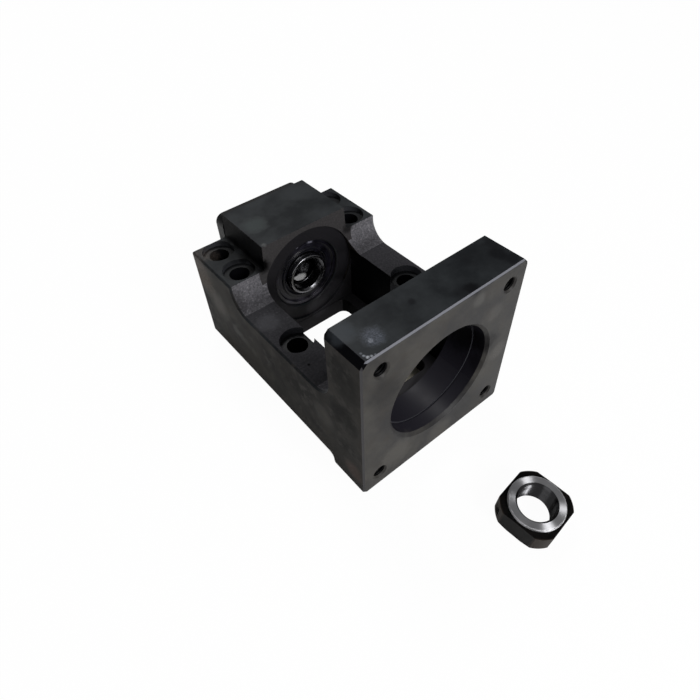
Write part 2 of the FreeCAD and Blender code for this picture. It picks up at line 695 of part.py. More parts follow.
# Collars: they carry the seal lips and clamp the inner rings
frontEnd = "-dims.collar_proud"
collar = newBody("front_collar")
section = sketchOn(collar, "section", "YZ_Plane")
outline(section, [
    (frontEnd, "dims.collar_mouth / 2"),
    ("dims.collar_mouth_depth - dims.collar_proud", "dims.screw_size / 2"),
    ("dims.seat_start", "dims.screw_size / 2"),
    ("dims.seat_start", "dims.collar_size / 2"),
    ("dims.ring_bevel - dims.collar_proud", "dims.collar_size / 2"),
    (frontEnd, "dims.collar_size / 2 - dims.ring_bevel"),
])
turned(collar, "collar_ring", section)
rearEnd = coverFace + " + dims.rear_proud"
collar = newBody("rear_collar")
section = sketchOn(collar, "section", "YZ_Plane")
outline(section, [
    (seatEnd, "dims.screw_size / 2"),
    (rearEnd + " - dims.collar_mouth_depth", "dims.screw_size / 2"),
    (rearEnd, "dims.collar_mouth / 2"),
    (rearEnd, "dims.collar_size / 2 - dims.ring_bevel"),
    (rearEnd + " - dims.ring_bevel", "dims.collar_size / 2"),
    (seatEnd, "dims.collar_size / 2"),
])
turned(collar, "collar_ring", section)

# Lock nut: turned blank with a raised face, then four milled flats
nut = newBody("lock_nut")
blankProfile = sketchOn(nut, "nut_profile", "XZ_Plane")
mouthDepth = "(dims.nut_mouth - dims.nut_bore) / 2"
outline(blankProfile, [
    ("dims.nut_mouth / 2", "0"),
    ("dims.nut_corners / 2 - dims.nut_foot_width", "0"),
    ("dims.nut_corners / 2", "dims.nut_foot_height"),
    ("dims.nut_corners / 2", "dims.nut_height - dims.nut_boss_height - dims.nut_cone"),
    ("dims.nut_boss / 2", "dims.nut_height - dims.nut_boss_height"),
    ("dims.nut_boss / 2", "dims.nut_height - dims.ring_bevel"),
    ("dims.nut_boss / 2 - dims.ring_bevel", "dims.nut_height"),
    ("dims.nut_mouth / 2", "dims.nut_height"),
    ("dims.nut_bore / 2", "dims.nut_height - " + mouthDepth),
    ("dims.nut_bore / 2", mouthDepth),
])
turned(nut, "nut_blank", blankProfile, axis="V_Axis")
flats = sketchOn(nut, "flats", "XY_Plane")
ringOf(flats, "0", "0", "dims.nut_corners + 2 * dims.cutter_reach")
outline(flats, [
    ("-dims.nut_flats / 2", "-dims.nut_flats / 2"),
    ("dims.nut_flats / 2", "-dims.nut_flats / 2"),
    ("dims.nut_flats / 2", "dims.nut_flats / 2"),
    ("-dims.nut_flats / 2", "dims.nut_flats / 2"),
])
pocket(nut, "milled_flats", flats, None, reverse=True)

# grub screw through one turned corner, with a soft set piece in front of it
grubLevel = "(dims.nut_height - dims.nut_boss_height) / 2"
plugStart = "dims.nut_bore / 2 + dims.plug_gap"
grubEnd = "dims.nut_corners / 2 - dims.grub_inset"
grubStart = "dims.nut_corners / 2 - dims.grub_inset - dims.grub_length"
grubFit = "dims.grub_size - 2 * dims.seat_gap"


def cornerSketch(body, name, distance):
    # upright plane square to the corner, at a distance from the nut's axis
    sketch = sketchOn(body, name, "YZ_Plane")
    sketch.AttachmentOffset = FreeCAD.Placement(FreeCAD.Vector(), FreeCAD.Rotation(FreeCAD.Vector(0, 1, 0), 45))
    sketch.setExpression("AttachmentOffset.Base.x", "(%s) / sqrt(2)" % distance)
    sketch.setExpression("AttachmentOffset.Base.z", "(%s) / sqrt(2)" % distance)
    return sketch


cross = cornerSketch(nut, "grub_hole", "0")
ringOf(cross, "0", grubLevel, "dims.grub_size")
pocket(nut, "grub_drilling", cross, None, reverse=True)
grub = newBody("nut_grub_screw")
grubRound = cornerSketch(grub, "grub_round", grubStart)
ringOf(grubRound, "0", grubLevel, grubFit)
pad(grub, "grub", grubRound, "dims.grub_length")
grubSocket = cornerSketch(grub, "grub_socket", grubEnd)
hexagon(grubSocket, "0", grubLevel, "dims.grub_socket")
pocket(grub, "grub_hexagon", grubSocket, "dims.grub_socket_depth")
plug = newBody("nut_set_piece")
plugRound = cornerSketch(plug, "plug_round", plugStart)
ringOf(plugRound, "0", grubLevel, grubFit)
pad(plug, "plug", plugRound, "%s - (%s)" % (grubStart, plugStart))

# The support stands on the rounding of its flange foot and on the far base edge, so the table
# slopes against the base face. The nut lies flat on the same table.
footMiddle = FreeCAD.Vector(0, number(flangeBack) - number(footCurve), number(footLevel) + number(footCurve))
farEdge = FreeCAD.Vector(0, number(rearFace), number(baseLevel))
reach = farEdge - footMiddle
slope = math.atan2(reach.z, reach.y) + math.asin(number(footCurve) / reach.Length)
nutAlong = number("-dims.bay_reach - dims.nut_ahead")
nutLevel = farEdge.z - (farEdge.y - nutAlong) * math.tan(slope)
tip = FreeCAD.Rotation(FreeCAD.Vector(1, 0, 0), math.degrees(slope))
turn = FreeCAD.Rotation(FreeCAD.Vector(0, 0, 1), number("dims.nut_turn"))
lying = FreeCAD.Placement(FreeCAD.Vector(number("dims.nut_across"), nutAlong, nutLevel), tip.multiply(turn))
for body in (nut, grub, plug):
    body.Placement = lying
doc.recompute()

for item in doc.Objects:
    if "Invalid" in item.State or "Error" in item.State:
        raise RuntimeError(item.Name + " did not build")
for item in doc.Objects:
    if item.TypeId in ("PartDesign::Body", "Part::Torus"):
        shape = item.Shape
        if shape.isNull() or not shape.isValid():
            raise RuntimeError(item.Label + " has no valid shape")
        shape.exportStep("parts/%s.step" % item.Label)
        print(item.Label, len(shape.Solids), round(shape.Volume, 1))
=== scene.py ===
import bpy
import math
from mathutils import Matrix, Vector


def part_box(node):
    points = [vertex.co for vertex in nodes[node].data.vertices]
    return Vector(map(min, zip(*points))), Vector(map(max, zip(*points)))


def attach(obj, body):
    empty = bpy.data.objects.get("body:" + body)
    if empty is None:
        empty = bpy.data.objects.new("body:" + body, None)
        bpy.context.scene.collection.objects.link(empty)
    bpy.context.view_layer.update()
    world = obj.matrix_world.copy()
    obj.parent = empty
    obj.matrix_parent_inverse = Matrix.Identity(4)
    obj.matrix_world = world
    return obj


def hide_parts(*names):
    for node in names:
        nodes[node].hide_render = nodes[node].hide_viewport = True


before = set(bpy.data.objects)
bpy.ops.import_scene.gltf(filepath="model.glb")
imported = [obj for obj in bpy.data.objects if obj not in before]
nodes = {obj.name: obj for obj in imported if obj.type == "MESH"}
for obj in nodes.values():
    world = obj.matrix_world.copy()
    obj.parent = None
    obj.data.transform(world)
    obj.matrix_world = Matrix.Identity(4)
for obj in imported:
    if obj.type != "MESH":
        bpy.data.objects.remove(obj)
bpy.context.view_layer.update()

scene = bpy.context.scene
scene.view_settings.view_transform = "Standard"
mm = 0.001


def hexColour(text):
    # sRGB hex to the linear values that a shader takes
    parts = [int(text[i:i + 2], 16) / 255 for i in (0, 2, 4)]
    linear = [c / 12.92 if c <= 0.04045 else ((c + 0.055) / 1.055) ** 2.4 for c in parts]
    return (*linear, 1.0)


def addNode(tree, kind, inputs=None, **settings):
    # one shader node: its settings, then its inputs, each a value, a socket or a node
    node = tree.nodes.new("ShaderNode" + kind)
    for name, value in settings.items():
        setattr(node, name, value)
    for key, value in (inputs or {}).items():
        if isinstance(value, bpy.types.Node):
            value = next(socket for socket in value.outputs if socket.enabled)
        if isinstance(value, bpy.types.NodeSocket):
            tree.links.new(value, node.inputs[key])
        else:
            node.inputs[key].default_value = value
    return node


def newMaterial(name):
    # the material, its tree, its shader, and the place on the piece in millimetres
    material = bpy.data.materials.new(name)
    material.use_nodes = True
    tree = material.node_tree
    tree.nodes.clear()
    shader = addNode(tree, "BsdfPrincipled")
    addNode(tree, "OutputMaterial", {0: shader})
    coords = addNode(tree, "TexCoord")
    place = addNode(tree, "VectorMath", {0: coords.outputs["Object"], "Scale": 1 / mm},
                    operation="SCALE")
    return material, tree, shader, place


def between(ends):
    # the two ends of a range, as a range node takes them
    return {1: ends[0], 2: ends[1]}


def finishShader(tree, shader, colour, gloss, height):
    # colour, roughness and lifted surface (in metres) into the shader
    bump = addNode(tree, "Bump", {"Strength": 1.0, "Distance": 1.0, "Height": height})
    tree.links.new(colour.outputs[2], shader.inputs["Base Color"])
    tree.links.new(gloss.outputs[0], shader.inputs["Roughness"])
    tree.links.new(bump.outputs[0], shader.inputs["Normal"])


def paint(piece, material):
    piece.data.materials.clear()
    piece.data.materials.append(material)


def deselect():
    bpy.ops.object.select_all(action="DESELECT")


def pick(piece):
    deselect()
    piece.select_set(True)
    bpy.context.view_layer.objects.active = piece


# Camera at the photograph's place and angle
cameraView = {
    "sensor": 36.0,
    "lens": 28.407,
    "nearest": 0.005,
    "place": (-0.081220, -0.128285, 0.124757),
    "turn": (0.740564, 0.031649, -0.687562),
}
deselect()
cameraData = bpy.data.cameras.new("camera")
cameraData.sensor_width = cameraView["sensor"]
cameraData.lens = cameraView["lens"]
cameraData.clip_start = cameraView["nearest"]
camera = bpy.data.objects.new("camera", cameraData)
camera.location = cameraView["place"]
camera.rotation_euler = cameraView["turn"]
scene.collection.objects.link(camera)
scene.camera = camera
print("camera set")

# Housing: grey iron cast in sand, milled and bored on its working faces, black oxide all over.
# Milled faces show a satin blue-black clouded with brown oil, and mould faces a paler, gritty
# grain. Noise lies round 0.5, and the ends of a range set how sharp its patches are.
housingLook = {
    "topDark": "121518",
    "topPale": "1d2124",
    "sideDark": "12100f",
    "sidePale": "26231f",
    # front faces: a paler copy of the milled tone, painted light from the front
    "frontDark": "242324",
    "frontPale": "413f3c",
    "oilBrown": "332e29",
    # flange's top corners: painted shade
    "cornerDark": "050507",
    # ring face: a darker copy of the front tone, painted shade of the flange
    "ringFace": "1c1b1e",
    "motorBore": "1d1c22",
    "blockSide": "131314",
    "castDark": "434245",
    "castPale": "5b5a5e",
    "castSpeck": "787679",
    "castFlat": "27272a",
    "castFront": "343232",
    # painted shade in the bolt holes and counterbores
    "holeDark": "08080b",
    "sinkDark": "161719",
    "sinkWall": "36373b",
    # painted shade in the tapped threads
    "tapDark": "0b0b0c",
    # painted shade inside the bay, partly oil; bayFloor is its paler lit copy
    "bayDark": "09090a",
    "bayFloor": "2a292b",
    # painted highlights on the flange face's bevels and the motor bore's ledge
    "topEdge": "74757c",
    "outerEdge": "3c3b3d",
    "boreLedge": "37373c",
    "castSteep": 1.45,          # mould faces that look ahead are painted paler, as painted light
    "castTurned": 0.92,         # and those turned away from the front painted a little darker, as painted shade
    "flatShare": 0.75,          # painted shade on mould faces that lie flat, the side wall tops
    "frontShare": 0.85,         # browner tone over the front of the block, partly painted shade of the flange
    "stainShare": 0.55,
    "steepRange": (-0.98, -0.55),  # how far a mould face looks ahead
    "cloudRange": (0.38, 0.62),
    "stainRange": (0.50, 0.72),
    "gritRange": (0.36, 0.60),
    "speckRange": (0.60, 0.72),
    "glossRange": (0.3, 0.7),
    "topEdgeRange": (29.50, 29.62),  # mm, where the flange's upper bevel gets its painted highlight
    "oilAndShadeRange": (0.001, 0.014),  # tones between which black oil and painted shade give way share of the sheen that is left under them
    "oilAndShadeSheen": 0.15,           # share of the sheen that is left under it
    "milledRoughness": 0.46,
    "milledSmoother": 0.08,     # oil clouds move the roughness down and up by these
    "milledRougher": 0.10,
    "castRoughness": 0.75,
    "topSheen": 0.17,
    "sideSheen": 0.05,
    "cloudSize": 15.0,          # mm, wiped oil patches
    "stainSize": 5.0,           # mm, darker stains between them
    "grainSize": 0.70,          # mm, sand grain, drawn a little coarser than real
    "lappingSize": 0.25,        # mm, fine scratches of the milled faces
    "grainHeight": 0.12,        # mm
    "lappingHeight": 0.004,     # mm
}

# Wear, dirt, painted light and painted shade where they lie: place across, along and up, radius
# (mm), colour and strength
housingMarksAndPaintedLight = [
    # left side: pale patches at the rear end are painted reflection; a rubbed smear, darker
    # patches, and painted warm light at the foot of the flange
    (-30, 21.0, 4.0, 8.5, "6f655d", 0.65),
    (-30, 12.0, -4.0, 6.5, "56524d", 0.45),
    (-30, 2.5, -9.8, 2.4, "605d58", 0.22),
    (-30, -0.8, -10.6, 2.4, "605d58", 0.22),
    (-30, -4.2, -11.5, 2.3, "605d58", 0.20),
    (-30, -8.0, -12.6, 2.2, "5a5753", 0.18),
    (-30, -30.0, -4.0, 8.0, "0c0b0a", 0.45),
    (-30, -47.0, -8.0, 5.0, "3c3933", 0.30),
    (-30, -60.5, -22.0, 4.5, "4c3a34", 0.45),
    (-30, -57.0, 2.0, 7.0, "0b0a0a", 0.60),
    (-30, -58.0, 17.0, 7.5, "0e0d0c", 0.50),
    (-30, -1.0, 6.0, 5.0, "141210", 0.50),
    # flange top: painted highlight as a pale patch and glints at the left corner edge, dark
    # smudges, and broad painted shade over the right
    (-21.6, -59.6, 30, 3.4, "646a77", 0.45),
    (-23.0, -60.2, 30, 0.8, "9ea3ad", 0.40),
    (-27.4, -61.9, 30, 0.40, "7d828b", 0.45),
    (-27.3, -62.9, 30, 0.45, "9ea3ad", 0.55),
    (-26.9, -63.8, 30, 0.50, "c0c4cc", 0.70),
    (-26.0, -64.1, 30, 0.45, "a6aab2", 0.60),
    (-25.0, -64.3, 30, 0.40, "7d828b", 0.50),
    (-26.5, -54.0, 30, 4.0, "3c4249", 0.35),
    (-6.3, -56.8, 30, 1.3, "0c0c10", 0.65),
    (8.6, -63.4, 30, 2.6, "07070a", 0.75),
    (5.2, -62.6, 30, 2.2, "0b0b0e", 0.40),
    (25.9, -62.0, 30, 3.2, "060609", 0.70),
    (24.6, -58.2, 30, 3.0, "060609", 0.75),
    (27.6, -54.4, 30, 3.6, "0a0a0d", 0.60),
    (16.5, -54.0, 30, 3.0, "101114", 0.35),
    (22.5, -58.0, 30, 8.5, "0e0f12", 0.45),
    # block top: a paler patch, a darker one, and a pale spot at the front corner
    (-11.4, 10.8, 20.2, 4.6, "3c4645", 0.32),
    (-15.2, 0.0, 20.2, 1.0, "6b6c6b", 0.45),
    (7.7, 9.2, 20.2, 3.2, "111618", 0.50),
    # front: painted light low down, paler patches at the right, and a darker one at the upper left
    (-23.0, -65, 15.0, 6.0, "161618", 0.45),
    (-16.8, -65, -20.0, 7.0, "56534e", 0.50),
    (2.0, -65, -26.0, 6.0, "56534e", 0.40),
    (25.4, -65, -4.2, 4.0, "605d59", 0.50),
    (10.8, -65, 25.8, 2.6, "52514f", 0.45),
    (19.0, -65, 16.0, 3.5, "4e4c4a", 0.40),
    # motor bore: painted shade along its right side, which faces away from the light
    (18.3, -54.0, 0.0, 7.5, "09090b", 0.70),
    (18.5, -57.5, 1.0, 6.0, "0a0a0c", 0.55),
    (19.0, -62.5, 3.0, 6.5, "0b090b", 0.75),
    (18.2, -63.2, -6.5, 3.5, "0e0c0f", 0.50),
    # ring face: painted shade on the left, painted light low down and to the right
    (-12.5, 0, 1.0, 6.5, "0e0d11", 0.55),
    (-8.8, 0, -9.0, 4.5, "323135", 0.45),
    (3.0, 0, -16.5, 5.5, "3c3b3f", 0.85),
    (10.5, 0, -13.0, 5.0, "38373b", 0.75),
    (14.5, 0, -3.0, 5.0, "2a292d", 0.60),
    # painted shadow at the foot of the block and on the shoulder beside it, painted light on the
    # left wall top far from the flange, painted shade near the flange, and a small pit
    (-17.2, -0.2, 13.0, 3.2, "020202", 0.97),
    (-18.2, 4.0, 11.4, 3.2, "030303", 0.95),
    (-17.8, 9.0, 11.8, 3.0, "040404", 0.90),
    (-17.6, 16.0, 12.0, 2.6, "060606", 0.75),
    (-19.8, 4.0, 10.5, 4.2, "0a0a0b", 0.75),
    (-19.6, 12.0, 10.8, 4.0, "0b0b0c", 0.70),
    (-19.5, 20.0, 10.8, 3.6, "0c0c0d", 0.70),
    (17.8, -0.6, 11.5, 2.6, "080809", 0.70),
    (-23.6, 12.0, 11.4, 5.0, "0d0f11", 0.50),
    (-25.3, -13.5, 2.7, 4.5, "56565a", 0.35),
    (-25.5, -38.0, 2.7, 6.5, "101012", 0.40),
    (-26.0, -46.0, 2.7, 6.0, "08080a", 0.60),
    (-26.2, -36.1, 2.7, 0.5, "040404", 0.90),
]

# Mounting bolt holes, in mm: places along one side, the level below which each counterbore lies,
# and the radii
boltHoles = {
    "across": 23.0,
    "along": (-25.6, 5.2, 18.2),
    "levels": (2.65, 11.35, 11.35),
    "hole": 3.4,
    "sink": 5.45,
}

# Motor bolt holes, in mm: a tapped square, and the thread stops short of the drill's end
motorThread = {
    "square": 47.14,
    "face": -65.0,
    "pitch": 0.8,
    "rootRadius": 2.36,
    "crestRadius": 2.1,
    "start": -1.0,
    "turns": 14,
    "steps": 36,
    "sinkRadius": 2.78,
    "litDepth": 0.5,            # down to here the countersink has the tone of the face
    "darkDepth": 0.8,
    "skin": 0.02,
}

# How a mark lies on its surface
markEdge = {
    "raggedSize": 2.5,          # mm, waves of its outline
    "dotSize": 0.5,             # mm, speckles of a pale mark
    "dotRange": (0.38, 0.62),
    "dotLeast": 0.25,           # what is left of the mark between them
    "wander": 0.8,              # how far the outline strays, as a share of the radius
    "full": 0.8,                # full strength up to this share of the radius
    "gone": 1.6,                # and nothing beyond this one
    "paleFrom": 0.1,            # linear green from which a mark counts as pale
}


def addMarks(tree, place, colour, marks):
    # each mark has a soft, ragged outline, and the pale ones, rubbed wear and painted highlights
    # alike, are speckled
    edge = markEdge
    ragged = addNode(tree, "TexNoise", {"Vector": place, "Scale": 1 / edge["raggedSize"],
                                        "Detail": 3, "Roughness": 0.6})
    dotted = addNode(tree, "TexNoise", {"Vector": place, "Scale": 1 / edge["dotSize"],
                                        "Detail": 3, "Roughness": 0.7})
    speckle = addNode(tree, "MapRange", {0: dotted, **between(edge["dotRange"]),
                                         3: edge["dotLeast"], 4: 1.0})
    for across, along, up, radius, shade, strength in marks:
        away = addNode(tree, "VectorMath", {0: place, 1: (across, along, up)},
                       operation="DISTANCE")
        reach = addNode(tree, "Math", {0: ragged, 1: radius * edge["wander"],
                                       2: away.outputs["Value"]}, operation="MULTIPLY_ADD")
        share = addNode(tree, "MapRange", {0: reach, 1: radius * edge["full"],
                                           2: radius * edge["gone"], 3: strength, 4: 0.0},
                        interpolation_type="SMOOTHSTEP")
        if hexColour(shade)[1] > edge["paleFrom"]:
            share = addNode(tree, "Math", {0: share, 1: speckle}, operation="MULTIPLY")
        colour = addNode(tree, "Mix", {0: share, 6: colour, 7: hexColour(shade)},
                         data_type="RGBA")
    return colour


def blackIron():
    look = housingLook
    tint = {name: hexColour(text) for name, text in look.items() if isinstance(text, str)}
    material, tree, shader, place = newMaterial("castIronBlackOxide")
    x, y, z = addNode(tree, "SeparateXYZ", {0: place}).outputs
    normal = addNode(tree, "TexCoord").outputs["Normal"]
    nx, ny, nz = addNode(tree, "SeparateXYZ", {0: normal}).outputs
    side = addNode(tree, "Math", {0: x}, operation="ABSOLUTE")
    sideways = addNode(tree, "Math", {0: nx}, operation="ABSOLUTE")
    flat = addNode(tree, "CombineXYZ", {0: x, 2: z})
    radius = addNode(tree, "VectorMath", {0: flat}, operation="LENGTH").outputs["Value"]

    # Tests that give 1 where they hold: what is measured, how, its bound and a tolerance.
    tests = {
        # the bay between ring face and flange, in mm
        "ahead": (y, "<", -0.7),
        "behind": (y, ">", -50.4),
        "aboveWall": (z, ">", 2.65),
        "belowWall": (z, "<", 2.6),
        "inWalls": (side, "<", 18.9),
        # the raised block
        "inBlock": (y, ">", -1.0),
        "byBlock": (y, ">", -1.5),
        "aboveShoulder": (z, ">", 11.5),
        "nearBlock": (side, "<", 19.0),
        "ringPlane": (y, "=", 0.0, 0.4),
        # the flange, its bore and its edges
        "inFlange": (y, "<", -50.4),
        "inBore": (radius, "<", 19.2),
        "inMouth": (radius, "<", 20.3),
        "foremost": (y, "<", -63.95),
        "atFace": (y, "<", -64.4),
        "borePlane": (y, "=", -59.5, 0.05),
        "flangeEdge": (side, ">", 29.3),
        "flangeCorner": (side, ">", 27.6),
        "flangeHigh": (z, ">", 26.0),
        # how a face is turned
        "lying": (nz, ">", 0.985),
        "raised": (nz, ">", 0.4),
        "standing": (nz, "<", 0.9),
        "leaning": (nz, "=", 0.65, 0.28),
        "forward": (ny, "<", -0.8),
        "bevelled": (ny, "=", -0.71, 0.06),
        "outside": (sideways, ">", 0.8),
        "upright": (sideways, ">", 0.6),
        "inward": (sideways, "<", 0.7),
    }
    rules = {"<": "LESS_THAN", ">": "GREATER_THAN", "=": "COMPARE"}
    on = {}
    for name, (value, sign, *bounds) in tests.items():
        on[name] = addNode(tree, "Math", dict(enumerate([value, *bounds])),
                           operation=rules[sign])

    # surfaces, each where all its tests hold
    surfaces = {
        "bayLength": ("ahead", "behind"),
        # mould faces between flange and block: side wall tops, slopes and the block's front
        "cast": ("bayLength", "aboveWall", "inward"),
        # inside of the coupling bay
        "bay": ("inWalls", "belowWall", "bayLength"),
        # drafted sides of the raised block
        "blockSide": ("aboveShoulder", "inBlock", "upright", "nearBlock"),
        # broken corners along the flange's top, painted near black as painted shade
        "corner": ("flangeCorner", "leaning", "flangeHigh"),
        "ringFace": ("ringPlane", "forward"),
        "bored": ("inBore", "inFlange"),
        "mouth": ("inMouth", "foremost"),
        "onBlock": ("byBlock", "nearBlock"),
        "blockFront": ("forward", "onBlock"),
        "bevel": ("bevelled", "atFace"),
        "sideBevel": ("bevel", "flangeEdge"),
        "ledge": ("borePlane", "forward"),
    }
    for name, (first, *others) in surfaces.items():
        on[name] = on[first]
        for other in others:
            on[name] = addNode(tree, "Math", {0: on[name], 1: on[other]}, operation="MULTIPLY")

    cloud, stain, grain, fine = [
        addNode(tree, "TexNoise", {"Vector": place, "Scale": 1 / look[pattern + "Size"],
                                   "Detail": detail, "Roughness": roughness})
        for pattern, detail, roughness in (
            ("cloud", 5, 0.6), ("stain", 4, 0.6), ("grain", 3, 0.7), ("lapping", 2, 0.5))
    ]

    # milled faces: clouds of oil over blue-black, browner down the sides, and a paler copy in
    # front, painted light from the front
    cloudy = addNode(tree, "MapRange", {0: cloud, **between(look["cloudRange"])})
    stained = addNode(tree, "MapRange", {0: stain, **between(look["stainRange"]),
                                         3: 0.0, 4: look["stainShare"]})
    stained = addNode(tree, "Math", {0: stained, 1: on["standing"]}, operation="MULTIPLY")
    top, flank, face = [
        addNode(tree, "Mix", {0: cloudy, 6: tint[part + "Dark"], 7: tint[part + "Pale"]},
                data_type="RGBA")
        for part in ("top", "side", "front")
    ]
    milled = top
    for share, shade in (
        (on["outside"], flank),
        (on["forward"], face),
        (stained, tint["oilBrown"]),
        (on["corner"], tint["cornerDark"]),
        (on["ringFace"], tint["ringFace"]),
        (on["bored"], tint["motorBore"]),
        (on["mouth"], face),
        (on["blockSide"], tint["blockSide"]),
    ):
        milled = addNode(tree, "Mix", {0: share, 6: milled, 7: shade}, data_type="RGBA")

    # mould faces: gritty grain with pale specks; painted shade where they lie flat or turn away
    # from the front, painted light where they look ahead
    gritty = addNode(tree, "MapRange", {0: grain, **between(look["gritRange"])})
    speck = addNode(tree, "MapRange", {0: grain, **between(look["speckRange"])})
    flatShare = addNode(tree, "Math", {0: on["lying"], 1: look["flatShare"]},
                        operation="MULTIPLY")
    frontShare = addNode(tree, "Math", {0: on["blockFront"], 1: look["frontShare"]},
                         operation="MULTIPLY")
    rough = tint["castDark"]
    for share, shade in ((gritty, "castPale"), (speck, "castSpeck"), (flatShare, "castFlat"),
                         (frontShare, "castFront")):
        rough = addNode(tree, "Mix", {0: share, 6: rough, 7: tint[shade]}, data_type="RGBA")
    steep = addNode(tree, "MapRange", {0: ny, **between(look["steepRange"]),
                                       3: look["castSteep"], 4: look["castTurned"]})
    steep = addNode(tree, "Mix", {0: on["onBlock"], 2: steep, 3: 1.0}, data_type="FLOAT")
    rough = addNode(tree, "VectorMath", {0: rough, "Scale": steep}, operation="SCALE")

    # the bay is dark, partly oil and partly painted shade, and only its floor and what looks
    # forward, where light falls, gets a paler grey copy
    facing = addNode(tree, "Math", {0: on["raised"], 1: on["forward"]}, operation="MAXIMUM")
    facing = addNode(tree, "Math", {0: facing, 1: on["bay"]}, operation="MULTIPLY")
    colour = milled
    for share, shade in (
        (on["cast"], rough),
        (on["bay"], tint["bayDark"]),
        (facing, tint["bayFloor"]),
    ):
        colour = addNode(tree, "Mix", {0: share, 6: colour, 7: shade}, data_type="RGBA")

    # bolt holes: painted shade makes the counterbores dark, darkest on their floors, and the holes
    # black
    sinkColour = addNode(tree, "Mix", {0: on["lying"], 6: tint["sinkWall"],
                                       7: tint["sinkDark"]}, data_type="RGBA")
    plan = addNode(tree, "CombineXYZ", {0: side, 1: y})
    for along, level in zip(boltHoles["along"], boltHoles["levels"]):
        away = addNode(tree, "VectorMath", {0: plan, 1: (boltHoles["across"], along, 0)},
                       operation="DISTANCE").outputs["Value"]
        sunk = addNode(tree, "Math", {0: z, 1: level}, operation="LESS_THAN")
        inSink = addNode(tree, "Math", {0: away, 1: boltHoles["sink"]}, operation="LESS_THAN")
        inSink = addNode(tree, "Math", {0: inSink, 1: sunk}, operation="MULTIPLY")
        inHole = addNode(tree, "Math", {0: away, 1: boltHoles["hole"]}, operation="LESS_THAN")
        colour = addNode(tree, "Mix", {0: inSink, 6: colour, 7: sinkColour}, data_type="RGBA")
        colour = addNode(tree, "Mix", {0: inHole, 6: colour, 7: tint["holeDark"]},
                         data_type="RGBA")
    colour = addMarks(tree, place, colour, housingMarksAndPaintedLight)

    # motor bolt holes: the countersink goes with the face, and the thread below it is painted
    # black as painted shade
    half = motorThread["square"] / 2
    mouthPlane = motorThread["face"]
    tallness = addNode(tree, "Math", {0: z}, operation="ABSOLUTE")
    fold = addNode(tree, "CombineXYZ", {0: side, 1: tallness})
    away = addNode(tree, "VectorMath", {0: fold, 1: (half, half, 0)},
                   operation="DISTANCE").outputs["Value"]
    tapped = addNode(tree, "Math", {0: away, 1: motorThread["sinkRadius"]},
                     operation="LESS_THAN")
    within = addNode(tree, "Math", {0: y, 1: mouthPlane + motorThread["skin"]},
                     operation="GREATER_THAN")
    tapped = addNode(tree, "Math", {0: tapped, 1: within}, operation="MULTIPLY")
    deep = addNode(tree, "MapRange", {0: y, 1: mouthPlane + motorThread["litDepth"],
                                      2: mouthPlane + motorThread["darkDepth"]})
    inside = addNode(tree, "Mix", {0: deep, 6: face, 7: tint["tapDark"]}, data_type="RGBA")
    colour = addNode(tree, "Mix", {0: tapped, 6: colour, 7: inside}, data_type="RGBA")
    tone = addNode(tree, "RGBToBW", {0: colour})

    # painted highlights on the bevels of the flange face, brightest along the top, and painted
    # light on the ledge in the motor bore
    topmost = addNode(tree, "MapRange", {0: z, **between(look["topEdgeRange"])})
    topBevel = addNode(tree, "Math", {0: on["bevel"], 1: topmost}, operation="MULTIPLY")
    for share, shade in ((on["sideBevel"], "outerEdge"), (topBevel, "topEdge"),
                         (on["ledge"], "boreLedge")):
        colour = addNode(tree, "Mix", {0: share, 6: colour, 7: tint[shade]}, data_type="RGBA")

    smooth = addNode(tree, "MapRange", {
        0: cloud, **between(look["glossRange"]),
        3: look["milledRoughness"] - look["milledSmoother"],
        4: look["milledRoughness"] + look["milledRougher"],
    })
    gloss = addNode(tree, "Mix", {0: on["cast"], 2: smooth, 3: look["castRoughness"]},
                    data_type="FLOAT")

    # sheen: weaker on sides and mould faces, and nearly gone under black oil and painted shade
    dull = on["outside"]
    for other in ("bay", "cast"):
        dull = addNode(tree, "Math", {0: dull, 1: on[other]}, operation="MAXIMUM")
    sheen = addNode(tree, "Mix", {0: dull, 2: look["topSheen"], 3: look["sideSheen"]},
                    data_type="FLOAT")
    clean = addNode(tree, "MapRange", {0: tone, **between(look["oilAndShadeRange"]),
                                       3: look["oilAndShadeSheen"], 4: 1.0})
    sheen = addNode(tree, "Math", {0: sheen, 1: clean}, operation="MULTIPLY")
    tree.links.new(sheen.outputs[0], shader.inputs["Specular IOR Level"])

    grainLift = addNode(tree, "Math", {0: grain, 1: look["grainHeight"] * mm},
                        operation="MULTIPLY")
    grainLift = addNode(tree, "Math", {0: grainLift, 1: on["cast"]}, operation="MULTIPLY")
    height = addNode(tree, "Math", {0: fine, 1: look["lappingHeight"] * mm, 2: grainLift},
                     operation="MULTIPLY_ADD")
    finishShader(tree, shader, colour, gloss, height)
    return material


# Mesh detail: steps round the axis and along a rounding, angles (degrees) up to which turned and
# cut pieces are smooth, and distances (mm) up to which vertices merge
meshDetail = {
    "turnSteps": 144,
    "arcSteps": 5,
    "turnedSmooth": 35,
    "cutSmooth": 28,
    "ringMerge": 0.001,
    "copyMerge": 0.0005,
}


